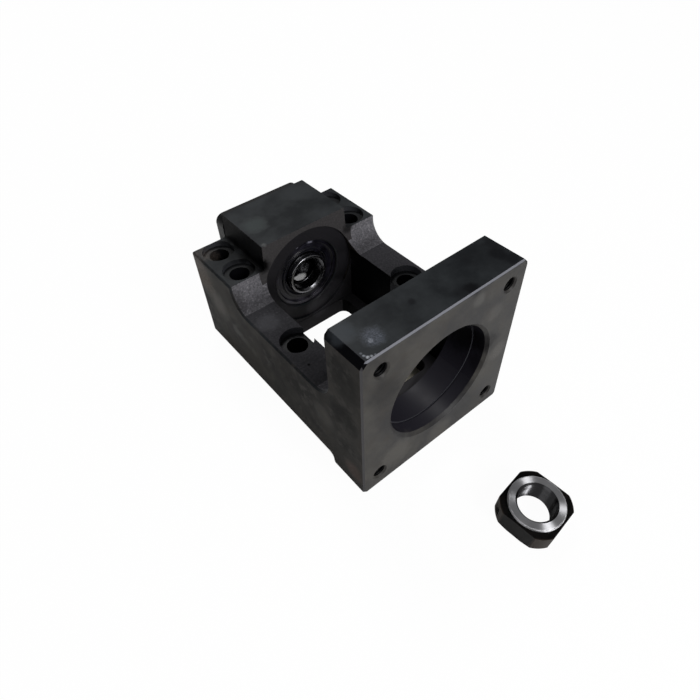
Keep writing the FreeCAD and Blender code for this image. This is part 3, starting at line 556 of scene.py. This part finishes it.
def threadCutter(thread):
    # one sharp groove section led round and along the hole, its deep side at the root radius
    pitch, turns = thread["pitch"], thread["turns"]
    rootRadius, crestRadius = thread["rootRadius"], thread["crestRadius"]
    blunt = 0.05                # half the width of the groove's bottom
    land = 0.06                 # half the width of the crest left between two turns
    overlap = 0.05              # how far the section reaches into the open bore
    shallow = crestRadius - overlap
    flank = (pitch / 2 - land) * (rootRadius - shallow) / (rootRadius - crestRadius)
    deselect()
    bpy.ops.mesh.primitive_circle_add(vertices=4, radius=0.001)
    cutter = bpy.context.object
    corners = [(rootRadius, blunt), (shallow, flank), (shallow, -flank), (rootRadius, -blunt)]
    for vertex, (radius, level) in zip(cutter.data.vertices, corners):
        vertex.co = (radius * mm, 0, (level + thread["start"]) * mm)
    lead = cutter.modifiers.new("lead", "SCREW")
    lead.axis = "Z"
    lead.angle = 2 * math.pi * turns
    lead.screw_offset = pitch * mm * turns
    lead.steps = thread["steps"] * turns
    lead.render_steps = lead.steps
    lead.use_smooth_shade = False
    bpy.ops.object.modifier_apply(modifier="lead")
    bpy.ops.object.mode_set(mode="EDIT")
    bpy.ops.mesh.select_all(action="SELECT")
    bpy.ops.mesh.fill_holes(sides=4)
    bpy.ops.mesh.select_all(action="SELECT")
    bpy.ops.mesh.normals_make_consistent(inside=False)
    bpy.ops.object.mode_set(mode="OBJECT")
    return cutter


def solidCopy(name, source):
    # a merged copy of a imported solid, so that it can be cut
    piece = bpy.data.objects.new(name, source.data.copy())
    scene.collection.objects.link(piece)
    pick(piece)
    bpy.ops.mesh.customdata_custom_splitnormals_clear()
    bpy.ops.object.mode_set(mode="EDIT")
    bpy.ops.mesh.select_all(action="SELECT")
    bpy.ops.mesh.remove_doubles(threshold=meshDetail["copyMerge"] * mm)
    bpy.ops.object.mode_set(mode="OBJECT")
    return piece


def cutWith(piece, cutter):
    pick(piece)
    cut = piece.modifiers.new("cut", "BOOLEAN")
    cut.operation = "DIFFERENCE"
    cut.solver = "EXACT"
    cut.object = cutter
    bpy.ops.object.modifier_apply(modifier="cut")
    bpy.data.objects.remove(cutter)
    bpy.ops.object.shade_smooth_by_angle(angle=math.radians(meshDetail["cutSmooth"]))


# Real threads cut into the four motor bolt holes
housing = solidCopy("housingTapped", nodes["housing"])
taps = []
for across in (-0.5, 0.5):
    for up in (-0.5, 0.5):
        tap = threadCutter(motorThread)
        centre = Vector((across * motorThread["square"], motorThread["face"],
                         up * motorThread["square"])) * mm
        tap.data.transform(Matrix.Translation(centre)
                           @ Matrix.Rotation(math.radians(-90), 4, "X"))
        taps.append(tap)
deselect()
for tap in taps:
    tap.select_set(True)
bpy.context.view_layer.objects.active = taps[0]
bpy.ops.object.join()
cutWith(housing, taps[0])
paint(housing, blackIron())
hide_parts("housing")
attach(housing, "frame_body")
print("housing tapped, faces", len(nodes["housing"].data.polygons), "to",
      len(housing.data.polygons))


# Pattern sizes of the steel and rubber surfaces in mm, with their heights where they lift it
steelGrain = {
    "oxidePatch": 6.0,
    "grindSize": 0.20,          # drawn a little coarser than real
    "grindHeight": 0.004,
    "patchRange": (0.35, 0.70),
    "glossRange": (0.3, 0.7),
    "oxideGloss": (-0.05, 0.08),  # what patches take from the roughness and add to it
    "filmSize": 3.0,
    "filmTone": 0.75,           # the film's tone as a share of the bare steel's
    "filmShare": 0.6,
    "filmGloss": 0.10,
    "boreEdge": (6.72, 6.60),   # radius outside and inside the mouth of a bore
    "glintToneRange": (0.14, 0.30),  # tone from which a painted highlight in a bore makes it non-metallic, and where it is fully so
}
rubberGrain = {
    "bloomSize": 3.0,
    "bloomRange": (0.45, 0.75),
    "bloomGloss": 0.12,
    "glossRange": (0.3, 0.7),
    "skinSize": 0.15,
    "skinHeight": 0.006,
}


# Turned steel parts with the same black oxide: finer and tighter in sheen than the casting.
def blackSteel(name, shade, paleShade, roughness, sheen):
    size = steelGrain
    material, tree, shader, place = newMaterial(name)
    patch = addNode(tree, "TexNoise", {"Vector": place, "Scale": 1 / size["oxidePatch"],
                                       "Detail": 4, "Roughness": 0.6})
    fine = addNode(tree, "TexNoise", {"Vector": place, "Scale": 1 / size["grindSize"],
                                      "Detail": 2})
    share = addNode(tree, "MapRange", {0: patch, **between(size["patchRange"])})
    colour = addNode(tree, "Mix", {0: share, 6: hexColour(shade), 7: hexColour(paleShade)},
                     data_type="RGBA")
    shader.inputs["Specular IOR Level"].default_value = sheen
    smoother, rougher = size["oxideGloss"]
    gloss = addNode(tree, "MapRange", {0: patch, **between(size["glossRange"]),
                                       3: roughness + smoother, 4: roughness + rougher})
    height = addNode(tree, "Math", {0: fine, 1: size["grindHeight"] * mm},
                     operation="MULTIPLY")
    finishShader(tree, shader, colour, gloss, height)
    return material


# Bright steel turned or ground round the screw axis: tool rings stretch each highlight, and the
# bores and their mouth bevels are painted dark as shade.
# Where a painted highlight lies in a bore, the steel there turns non-metallic and pale, and
# scatters the lamp.
def brightSteel(name, shade, boreShade, roughness, pitch, ringHeight, marks=()):
    size = steelGrain
    material, tree, shader, place = newMaterial(name)
    x, y, z = addNode(tree, "SeparateXYZ", {0: place}).outputs
    flat = addNode(tree, "CombineXYZ", {0: x, 2: z})
    radius = addNode(tree, "VectorMath", {0: flat}, operation="LENGTH").outputs["Value"]
    travel = addNode(tree, "Math", {0: radius, 1: y}, operation="ADD")
    rings = addNode(tree, "TexNoise", {"W": travel, "Scale": 1 / pitch, "Detail": 2},
                    noise_dimensions="1D")
    film = addNode(tree, "TexNoise", {"Vector": place, "Scale": 1 / size["filmSize"],
                                      "Detail": 3, "Roughness": 0.6})
    inBore = addNode(tree, "MapRange", {0: radius, **between(size["boreEdge"])})
    dark = (*[c * size["filmTone"] for c in hexColour(shade)[:3]], 1.0)
    share = addNode(tree, "MapRange", {0: film, **between(size["patchRange"]),
                                       3: 0.0, 4: size["filmShare"]})
    colour = addNode(tree, "Mix", {0: share, 6: hexColour(shade), 7: dark}, data_type="RGBA")
    colour = addNode(tree, "Mix", {0: inBore, 6: colour, 7: hexColour(boreShade)},
                     data_type="RGBA")
    colour = addMarks(tree, place, colour, marks)
    tone = addNode(tree, "RGBToBW", {0: colour})
    paintedGlint = addNode(tree, "MapRange", {0: tone, **between(size["glintToneRange"])})
    paintedGlint = addNode(tree, "Math", {0: paintedGlint, 1: inBore}, operation="MULTIPLY")
    metallic = addNode(tree, "Math", {0: 1.0, 1: paintedGlint}, operation="SUBTRACT")
    tree.links.new(metallic.outputs[0], shader.inputs["Metallic"])
    gloss = addNode(tree, "MapRange", {0: film, **between(size["glossRange"]),
                                       3: roughness, 4: roughness + size["filmGloss"]})
    height = addNode(tree, "Math", {0: rings, 1: ringHeight * mm}, operation="MULTIPLY")
    finishShader(tree, shader, colour, gloss, height)
    return material


# Nitrile rubber, moulded: black and half glossy, with a thin grey bloom in patches.
def nitrile(name, shade, bloomShade, roughness, marks):
    size = rubberGrain
    material, tree, shader, place = newMaterial(name)
    bloom = addNode(tree, "TexNoise", {"Vector": place, "Scale": 1 / size["bloomSize"],
                                       "Detail": 4, "Roughness": 0.6})
    fine = addNode(tree, "TexNoise", {"Vector": place, "Scale": 1 / size["skinSize"],
                                      "Detail": 2})
    share = addNode(tree, "MapRange", {0: bloom, **between(size["bloomRange"])})
    colour = addNode(tree, "Mix", {0: share, 6: hexColour(shade), 7: hexColour(bloomShade)},
                     data_type="RGBA")
    colour = addMarks(tree, place, colour, marks)
    gloss = addNode(tree, "MapRange", {0: bloom, **between(size["glossRange"]),
                                       3: roughness, 4: roughness + size["bloomGloss"]})
    height = addNode(tree, "Math", {0: fine, 1: size["skinHeight"] * mm},
                     operation="MULTIPLY")
    finishShader(tree, shader, colour, gloss, height)
    return material


def roundedOutline(corners):
    # corners hold along, radius and rounding in mm; a rounded corner becomes an arc
    steps = meshDetail["arcSteps"]
    points = []
    for i, (along, radius, rounding) in enumerate(corners):
        here = Vector((along, radius))
        back = (Vector(corners[i - 1][:2]) - here).normalized()
        on = (Vector(corners[(i + 1) % len(corners)][:2]) - here).normalized()
        if rounding == 0:
            points.append(here)
            continue
        half = back.angle(on) / 2
        centre = here + (back + on).normalized() * rounding / math.sin(half)
        start = here + back * rounding / math.tan(half) - centre
        end = here + on * rounding / math.tan(half) - centre
        for k in range(steps + 1):
            points.append(centre + start.lerp(end, k / steps).normalized() * rounding)
    return points


def turnedRing(name, corners):
    # a closed section spun once round the screw axis
    section = roundedOutline(corners)
    deselect()
    bpy.ops.mesh.primitive_circle_add(vertices=len(section), radius=0.01)
    ring = bpy.context.object
    ring.name = name
    for vertex, (along, radius) in zip(ring.data.vertices, section):
        vertex.co = (radius * mm, along * mm, 0)
    bpy.ops.object.mode_set(mode="EDIT")
    bpy.ops.mesh.select_all(action="SELECT")
    bpy.ops.mesh.spin(steps=meshDetail["turnSteps"], angle=2 * math.pi, center=(0, 0, 0),
                      axis=(0, 1, 0))
    bpy.ops.mesh.select_all(action="SELECT")
    bpy.ops.mesh.remove_doubles(threshold=meshDetail["ringMerge"] * mm)
    bpy.ops.mesh.normals_make_consistent(inside=False)
    bpy.ops.object.mode_set(mode="OBJECT")
    bpy.ops.object.shade_smooth_by_angle(angle=math.radians(meshDetail["turnedSmooth"]))
    return ring


# Shaft seals, in mm: raised rim, dished face, dust ridge and lip, with moulded roundings
sealShape = {
    "rimWidth": 1.3,
    "rimHeight": 0.7,
    "ridgeInner": 8.98,
    "ridgeWidth": 0.7,
    "ridgeDrop": 0.3,
    "faceBore": 10.2,
    "wall": 0.8,
    "lipEdge": 7.58,
    "lipThick": 0.8,
    "lipRise": 0.35,            # from the sealing edge to both ends of the lip
    "edgeInset": 0.7,           # sealing edge before the inner end
    "springSeat": 1.1,          # length of the groove that holds the garter spring
    "rimFoot": 0.35,            # width of the slope from the face up to the rim
    "faceDish": 0.10,
    "ridgeFoot": 0.15,
    "lipDish": 0.05,
    "trough": 0.35,             # depth of the hollow inside the ridge
    "troughWidth": 0.55,
    "lipDepth": 0.40,
}


def sealRing(end, sign):
    # sign is 1 where the seal looks to the front, and -1 at the rear
    shape = sealShape
    low, high = (Vector(corner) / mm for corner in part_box(end + "_seal_case"))
    face, back = (low.y, high.y) if sign > 0 else (high.y, low.y)
    outside = high.x
    rim = outside - shape["rimWidth"]
    floor = face + sign * shape["rimHeight"]
    under = floor + sign * shape["wall"]
    case = turnedRing(end + "SealCase", [
        (floor, shape["faceBore"], 0),
        (floor + sign * shape["faceDish"], rim - shape["rimFoot"], 0.10),
        (floor, rim, 0.12),
        (face, rim, 0.22),
        (face, outside, 0.25),
        (back, outside, 0.2),
        (back, outside - shape["wall"], 0),
        (under, outside - shape["wall"], 0),
        (under, shape["faceBore"], 0),
    ])
    ridge = shape["ridgeInner"]
    lipLow, lipHigh = (Vector(corner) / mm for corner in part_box(end + "_seal_lip"))
    lipBack = lipHigh.y if sign > 0 else lipLow.y
    groove = shape["lipEdge"] + shape["lipThick"]
    ridgeOuter = ridge + shape["ridgeWidth"]
    lip = turnedRing(end + "SealLip", [
        (floor, shape["faceBore"], 0),
        (floor + sign * shape["lipDish"], ridgeOuter + shape["ridgeFoot"], 0.12),
        (face + sign * shape["ridgeDrop"], ridgeOuter, 0.18),
        (face + sign * shape["ridgeDrop"], ridge, 0.22),
        (floor + sign * shape["trough"], ridge - shape["troughWidth"], 0.15),
        (floor + sign * shape["lipDepth"], shape["lipEdge"] + shape["lipRise"], 0.1),
        (lipBack - sign * shape["edgeInset"], shape["lipEdge"], 0.05),
        (lipBack, shape["lipEdge"] + shape["lipRise"], 0),
        (lipBack, groove, 0),
        (lipBack - sign * shape["springSeat"], groove, 0),
        (under, shape["faceBore"], 0),
    ])
    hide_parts(end + "_seal_case")
    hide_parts(end + "_seal_lip")
    for piece in (case, lip):
        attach(piece, "frame_body")
    return case, lip


# The seal in front has painted light along its lower rim, painted glints at spots of its upper rim
# and ridge, and darker patches above
sealMarksAndPaintedLight = [
    (-2.7, 0.5, 12.7, 0.9, "a09fac", 1.2),
    (2.6, 0.5, 12.0, 1.2, "7f7e8c", 0.9),
    (-1.6, 0.6, 9.3, 0.8, "8c8a99", 0.9),
    (-9.0, 0.6, -9.5, 2.8, "5b5964", 0.55),
    (-3.5, 0.6, -12.8, 3.4, "6a6873", 0.75),
    (3.5, 0.6, -12.6, 3.2, "5b5964", 0.65),
    (-8.0, 0.6, 8.5, 5.0, "05050a", 0.60),
    (10.0, 0.6, 4.5, 4.5, "020205", 0.70),
]
sealLook = {
    "case": {"shade": "0a0911", "bloomShade": "24222d", "roughness": 0.28, "marks": sealMarksAndPaintedLight},
    "lip": {"shade": "07070d", "bloomShade": "191823", "roughness": 0.24, "marks": []},
}
caseRubber = nitrile("nitrileCaseMoulded", **sealLook["case"])
lipRubber = nitrile("nitrileLipMoulded", **sealLook["lip"])
for end, sign in (("front", 1), ("rear", -1)):
    case, lip = sealRing(end, sign)
    paint(case, caseRubber)
    paint(lip, lipRubber)
print("seals turned")

# Collars, in mm: ground sleeve with a bevelled mouth and broken edges
collarShape = {"bore": 6.0, "mouth": 6.7, "mouthDepth": 0.6, "edge": 0.12, "bevel": 0.25}


def collarRing(end, sign):
    shape = collarShape
    low, high = (Vector(corner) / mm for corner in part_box(end + "_collar"))
    face, back = (low.y, high.y) if sign > 0 else (high.y, low.y)
    outside = high.x
    ring = turnedRing(end + "Collar", [
        (back, shape["bore"], 0),
        (face + sign * shape["mouthDepth"], shape["bore"], shape["bevel"]),
        (face, shape["mouth"], shape["edge"]),
        (face, outside, shape["bevel"]),
        (back, outside, 0),
    ])
    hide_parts(end + "_collar")
    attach(ring, "rotor")
    return ring


# Painted highlight at one place in the front ring's bore
borePaintedGlint = [
    (4.0, 8.4, -4.5, 2.7, "a4a4a8", 0.75),
    (5.5, 7.4, -2.4, 2.0, "8e8e92", 0.60),
    (-0.6, 6.8, -6.0, 1.4, "ffffff", 2.0),
    (0.8, 6.5, -5.9, 1.7, "ffffff", 2.0),
    (2.0, 6.3, -5.7, 1.2, "ffffff", 1.6),
]
# Tool rings: pitch and height in mm
bearingLook = {
    # ground: even satin rings round a pale face
    "collar": {"shade": "96969a", "boreShade": "626265", "roughness": 0.20,
               "pitch": 0.30, "ringHeight": 0.0015},
    # polished: tight, mirror-like glints
    "bearing": {"shade": "c0c0be", "boreShade": "3a3a3c", "roughness": 0.14,
                "pitch": 0.25, "ringHeight": 0.0008, "marks": borePaintedGlint},
    # wire drawn and coiled: dull streaks
    "spring": {"shade": "a8a8a6", "boreShade": "a8a8a6", "roughness": 0.26,
               "pitch": 0.7, "ringHeight": 0.02},
    # turned brass: warm, with plain tool rings
    "cage": {"shade": "b08d4a", "boreShade": "b08d4a", "roughness": 0.30,
             "pitch": 0.4, "ringHeight": 0.003},
    # black oxide: nearly black on the plate, half glossy on the screws
    "cover": {"shade": "0b0b0c", "paleShade": "171718", "roughness": 0.42, "sheen": 0.15},
    "screw": {"shade": "161618", "paleShade": "262628", "roughness": 0.32, "sheen": 0.5},
}
groundSteel = brightSteel("collarSteelGround", **bearingLook["collar"])
bearingSteel = brightSteel("bearingSteelPolished", **bearingLook["bearing"])
springSteel = brightSteel("springWireDrawn", **bearingLook["spring"])
cageBrass = brightSteel("cageBrassTurned", **bearingLook["cage"])
coverSteel = blackSteel("coverSteelBlackOxide", **bearingLook["cover"])
screwSteel = blackSteel("screwSteelBlackOxide", **bearingLook["screw"])
for end, sign in (("front", 1), ("rear", -1)):
    paint(collarRing(end, sign), groundSteel)
    for name in ("_outer_ring", "_inner_ring", "_balls"):
        paint(nodes[end + name], bearingSteel)
    paint(nodes[end + "_seal_spring"], springSteel)
    paint(nodes[end + "_cage"], cageBrass)
paint(nodes["retaining_cover"], coverSteel)
for name in ("cover_screws", "nut_grub_screw"):
    paint(nodes[name], screwSteel)
print("bearing unit finished")

# The table slopes under the part, which rests on its flange foot and its far base edge.
# Places in mm; the foot touches with its rounding, so its middle and radius are given.
restShape = {"farEdge": (0, 24.0, -25.0), "footMiddle": (0, -52.9, -27.6), "footCurve": 2.4}
farEdge = Vector(restShape["farEdge"]) * mm
footMiddle = Vector(restShape["footMiddle"]) * mm
restReach = farEdge - footMiddle
tableSlope = (math.atan2(restReach.z, restReach.y)
              + math.asin(restShape["footCurve"] * mm / restReach.length))

# Lock nut, in mm: the solid's copy gets a real fine thread in its bore
nutShape = {
    "across": 4.92,
    "along": -100.98,
    "turn": 96.2,               # degrees
    "pitch": 1.0,
    "rootRadius": 6.02,
    "crestRadius": 5.55,
    "start": -1.3,
    "turns": 11,
    "steps": 72,
}
nutFoot = farEdge.z - (farEdge.y - nutShape["along"] * mm) * math.tan(tableSlope)
nutPlace = Vector((nutShape["across"] * mm, nutShape["along"] * mm, nutFoot))
nutFrame = (Matrix.Translation(nutPlace) @ Matrix.Rotation(tableSlope, 4, "X")
            @ Matrix.Rotation(math.radians(nutShape["turn"]), 4, "Z"))


def threadedPiece(name, source):
    piece = solidCopy(name, source)
    cutter = threadCutter(nutShape)
    cutter.data.transform(nutFrame)
    cutWith(piece, cutter)
    return piece


# Nut steel: black oxide outside, then the face and the thread turned bright. The facing tool left
# fine rings that stretch each lamp into a fan across the face.
nutLook = {
    "side": "050505",
    "sidePale": "12100f",
    "cornerBrown": "2f2823",
    "bright": "c6c6c9",
    "thread": "525254",
    "sideRoughness": 0.36,
    "faceRoughness": 0.40,
    "threadRoughness": 0.17,
    "stretch": 1.0,
    "sideSheen": 0.06,
    "patchSize": 3.0,           # mm, clouds of the black oxide
    "toolPitch": 0.25,          # mm, feed rings of the facing tool, a little coarser than real
    "toolHeight": 0.010,        # mm
    "fineSize": 0.2,            # mm, scratches all over
    "fineHeight": 0.003,        # mm
    "bossFoot": 7.47,           # mm above the table
    "boreEdge": 6.26,           # mm, radius up to which the thread is bright
    "cornerEdge": (10.3, 10.6),  # mm, radius where the turned corners begin
    "cornerShare": 0.8,
}

# Painted highlight on the thread inside the bore
nutPaintedHighlight = [
    (2.6, -95.6, -28.6, 2.0, "f4f4f6", 0.95),
    (-0.2, -97.4, -29.0, 1.6, "e4e4e8", 0.80),
]


def nutSteel():
    look = nutLook
    material, tree, shader, place = newMaterial("nutSteelFacedBright")
    own = addNode(tree, "Mapping", {"Vector": place, "Location": nutPlace / mm,
                                    "Rotation": nutFrame.to_euler()}, vector_type="TEXTURE")
    x, y, z = addNode(tree, "SeparateXYZ", {0: own}).outputs
    flat = addNode(tree, "CombineXYZ", {0: x, 1: y})
    radius = addNode(tree, "VectorMath", {0: flat}, operation="LENGTH").outputs["Value"]
    above = addNode(tree, "Math", {0: z, 1: look["bossFoot"]}, operation="GREATER_THAN")
    bore = addNode(tree, "Math", {0: radius, 1: look["boreEdge"]}, operation="LESS_THAN")
    bright = addNode(tree, "Math", {0: above, 1: bore}, operation="MAXIMUM")

    # black outside with brown corners, a painted reflection, bright face and thread
    patch = addNode(tree, "TexNoise", {"Vector": place, "Scale": 1 / look["patchSize"],
                                       "Detail": 4, "Roughness": 0.6})
    share = addNode(tree, "MapRange", {0: patch, **between(steelGrain["patchRange"])})
    dark = addNode(tree, "Mix", {0: share, 6: hexColour(look["side"]),
                                 7: hexColour(look["sidePale"])}, data_type="RGBA")
    turned = addNode(tree, "MapRange", {0: radius, **between(look["cornerEdge"]),
                                        3: 0.0, 4: look["cornerShare"]})
    dark = addNode(tree, "Mix", {0: turned, 6: dark, 7: hexColour(look["cornerBrown"])},
                   data_type="RGBA")
    metal = addNode(tree, "Mix", {0: bore, 6: hexColour(look["bright"]),
                                  7: hexColour(look["thread"])}, data_type="RGBA")
    metal = addMarks(tree, place, metal, nutPaintedHighlight)
    colour = addNode(tree, "Mix", {0: bright, 6: dark, 7: metal}, data_type="RGBA")
    tree.links.new(bright.outputs[0], shader.inputs["Metallic"])
    polish = addNode(tree, "Mix", {0: bore, 2: look["faceRoughness"],
                                   3: look["threadRoughness"]}, data_type="FLOAT")
    gloss = addNode(tree, "Mix", {0: bright, 2: look["sideRoughness"], 3: polish},
                    data_type="FLOAT")
    shader.inputs["Specular IOR Level"].default_value = look["sideSheen"]

    # the feed rings of the face stretch highlights across them, along the radius
    faced = addNode(tree, "Math", {0: above, 1: bore}, operation="SUBTRACT", use_clamp=True)
    stretch = addNode(tree, "Math", {0: faced, 1: look["stretch"]}, operation="MULTIPLY")
    tree.links.new(stretch.outputs[0], shader.inputs["Anisotropic"])
    outward = addNode(tree, "VectorMath", {0: place, 1: nutPlace / mm}, operation="SUBTRACT")
    tree.links.new(outward.outputs[0], shader.inputs["Tangent"])
    travel = addNode(tree, "Math", {0: radius, 1: z}, operation="ADD")
    rings = addNode(tree, "TexNoise", {"W": travel, "Scale": 1 / look["toolPitch"],
                                       "Detail": 2}, noise_dimensions="1D")
    ringLift = addNode(tree, "Math", {0: rings, 1: look["toolHeight"] * mm},
                       operation="MULTIPLY")
    ringLift = addNode(tree, "Math", {0: ringLift, 1: bright}, operation="MULTIPLY")
    fine = addNode(tree, "TexNoise", {"Vector": place, "Scale": 1 / look["fineSize"],
                                      "Detail": 2})
    height = addNode(tree, "Math", {0: fine, 1: look["fineHeight"] * mm, 2: ringLift},
                     operation="MULTIPLY_ADD")
    finishShader(tree, shader, colour, gloss, height)
    return material


nut = threadedPiece("lockNutThreaded", nodes["lock_nut"])
paint(nut, nutSteel())
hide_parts("lock_nut")
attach(nut, "frame_body")
setPiece = threadedPiece("brassSetPiece", nodes["nut_set_piece"])
paint(setPiece, cageBrass)
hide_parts("nut_set_piece")
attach(setPiece, "frame_body")
print("lock nut threaded, faces", len(nut.data.polygons))

# Table: pale and plain, white to the eye, with the part's soft shadow kept.
# Under the flange, as seen through the motor bore, it has no glow and lies in deep shadow.
tableLook = {
    "shade": "f2f2f1",
    "underShade": "9a9686",
    "roughness": 0.8,
    "halfSize": 4.0,            # m
    "seenShare": 0.97,          # of the white glow, for the eye
    "mirroredShare": 0.15,      # and for reflections
    "underHalf": (24.0, 29.0),  # mm, the shadow's sides fade between these
    "underFront": (-64.0, -60.0),
    "underBack": (-30.0, -20.0),
}
deselect()
bpy.ops.mesh.primitive_plane_add(size=2 * tableLook["halfSize"])
table = bpy.context.object
table.name = "table"
table.data.transform(Matrix.Translation(farEdge) @ Matrix.Rotation(tableSlope, 4, "X"))
paper, tree, shader, place = newMaterial("tablePaperWhite")
output = next(node for node in tree.nodes if node.type == "OUTPUT_MATERIAL")
shader.inputs["Roughness"].default_value = tableLook["roughness"]
path = addNode(tree, "LightPath").outputs
seen = addNode(tree, "Math", {0: path["Is Camera Ray"], 1: tableLook["seenShare"]},
               operation="MULTIPLY")
mirrored = addNode(tree, "Math", {0: path["Is Glossy Ray"], 1: path["Is Transmission Ray"]},
                   operation="MAXIMUM")
mirrored = addNode(tree, "Math", {0: mirrored, 1: tableLook["mirroredShare"]},
                   operation="MULTIPLY")
share = addNode(tree, "Math", {0: seen, 1: mirrored}, operation="MAXIMUM")
x, y = addNode(tree, "SeparateXYZ", {0: place}).outputs[:2]
side = addNode(tree, "Math", {0: x}, operation="ABSOLUTE")
under = 1.0
for value, bounds, near, far in (
    (y, "underFront", 0.0, 1.0),
    (y, "underBack", 1.0, 0.0),
    (side, "underHalf", 1.0, 0.0),
):
    shade = addNode(tree, "MapRange", {0: value, **between(tableLook[bounds]),
                                       3: near, 4: far})
    under = addNode(tree, "Math", {0: under, 1: shade}, operation="MULTIPLY")
tone = addNode(tree, "Mix", {0: under, 6: hexColour(tableLook["shade"]),
                             7: hexColour(tableLook["underShade"])}, data_type="RGBA")
tree.links.new(tone.outputs[2], shader.inputs["Base Color"])
lit = addNode(tree, "Math", {0: 1.0, 1: under}, operation="SUBTRACT")
share = addNode(tree, "Math", {0: share, 1: lit}, operation="MULTIPLY")
glow = addNode(tree, "Emission", {"Color": (1, 1, 1, 1), "Strength": 1.0})
mixed = addNode(tree, "MixShader", {0: share, 1: shader, 2: glow})
tree.links.new(mixed.outputs[0], output.inputs[0])
paint(table, paper)
print("table laid")

# Room and lamps: a large soft lamp ahead, a soft ceiling, a weak one at the left, a dim room.
# Places and sizes in metres, energy in watts.
roomLook = {
    "room": 0.22,
    "aim": (0, -0.03, 0),
    "lamps": {
        "frontLamp": {"place": (0.06, -0.82, 0.52), "size": 0.36, "energy": 6.2},
        "ceilingLamp": {"place": (0.16, 0.48, 0.80), "size": 0.26, "energy": 3.7},
        "sideLamp": {"place": (-0.80, -0.20, 0.40), "size": 0.50, "energy": 0.40},
    },
}
world = bpy.data.worlds.new("room")
scene.world = world
world.use_nodes = True
tree = world.node_tree
tree.nodes.clear()
seen = addNode(tree, "LightPath").outputs["Is Camera Ray"]
room = addNode(tree, "Background", {"Color": (1, 1, 1, 1), "Strength": roomLook["room"]})
plain = addNode(tree, "Background", {"Color": (1, 1, 1, 1), "Strength": 1.0})
mixed = addNode(tree, "MixShader", {0: seen, 1: room, 2: plain})
addNode(tree, "OutputWorld", {0: mixed})
for name, lampLook in roomLook["lamps"].items():
    data = bpy.data.lights.new(name, "AREA")
    data.shape = "SQUARE"
    data.size = lampLook["size"]
    data.energy = lampLook["energy"]
    lamp = bpy.data.objects.new(name, data)
    lamp.location = lampLook["place"]
    aim = Vector(roomLook["aim"]) - Vector(lampLook["place"])
    lamp.rotation_euler = aim.to_track_quat("-Z", "Y").to_euler()
    scene.collection.objects.link(lamp)
print("room lit")
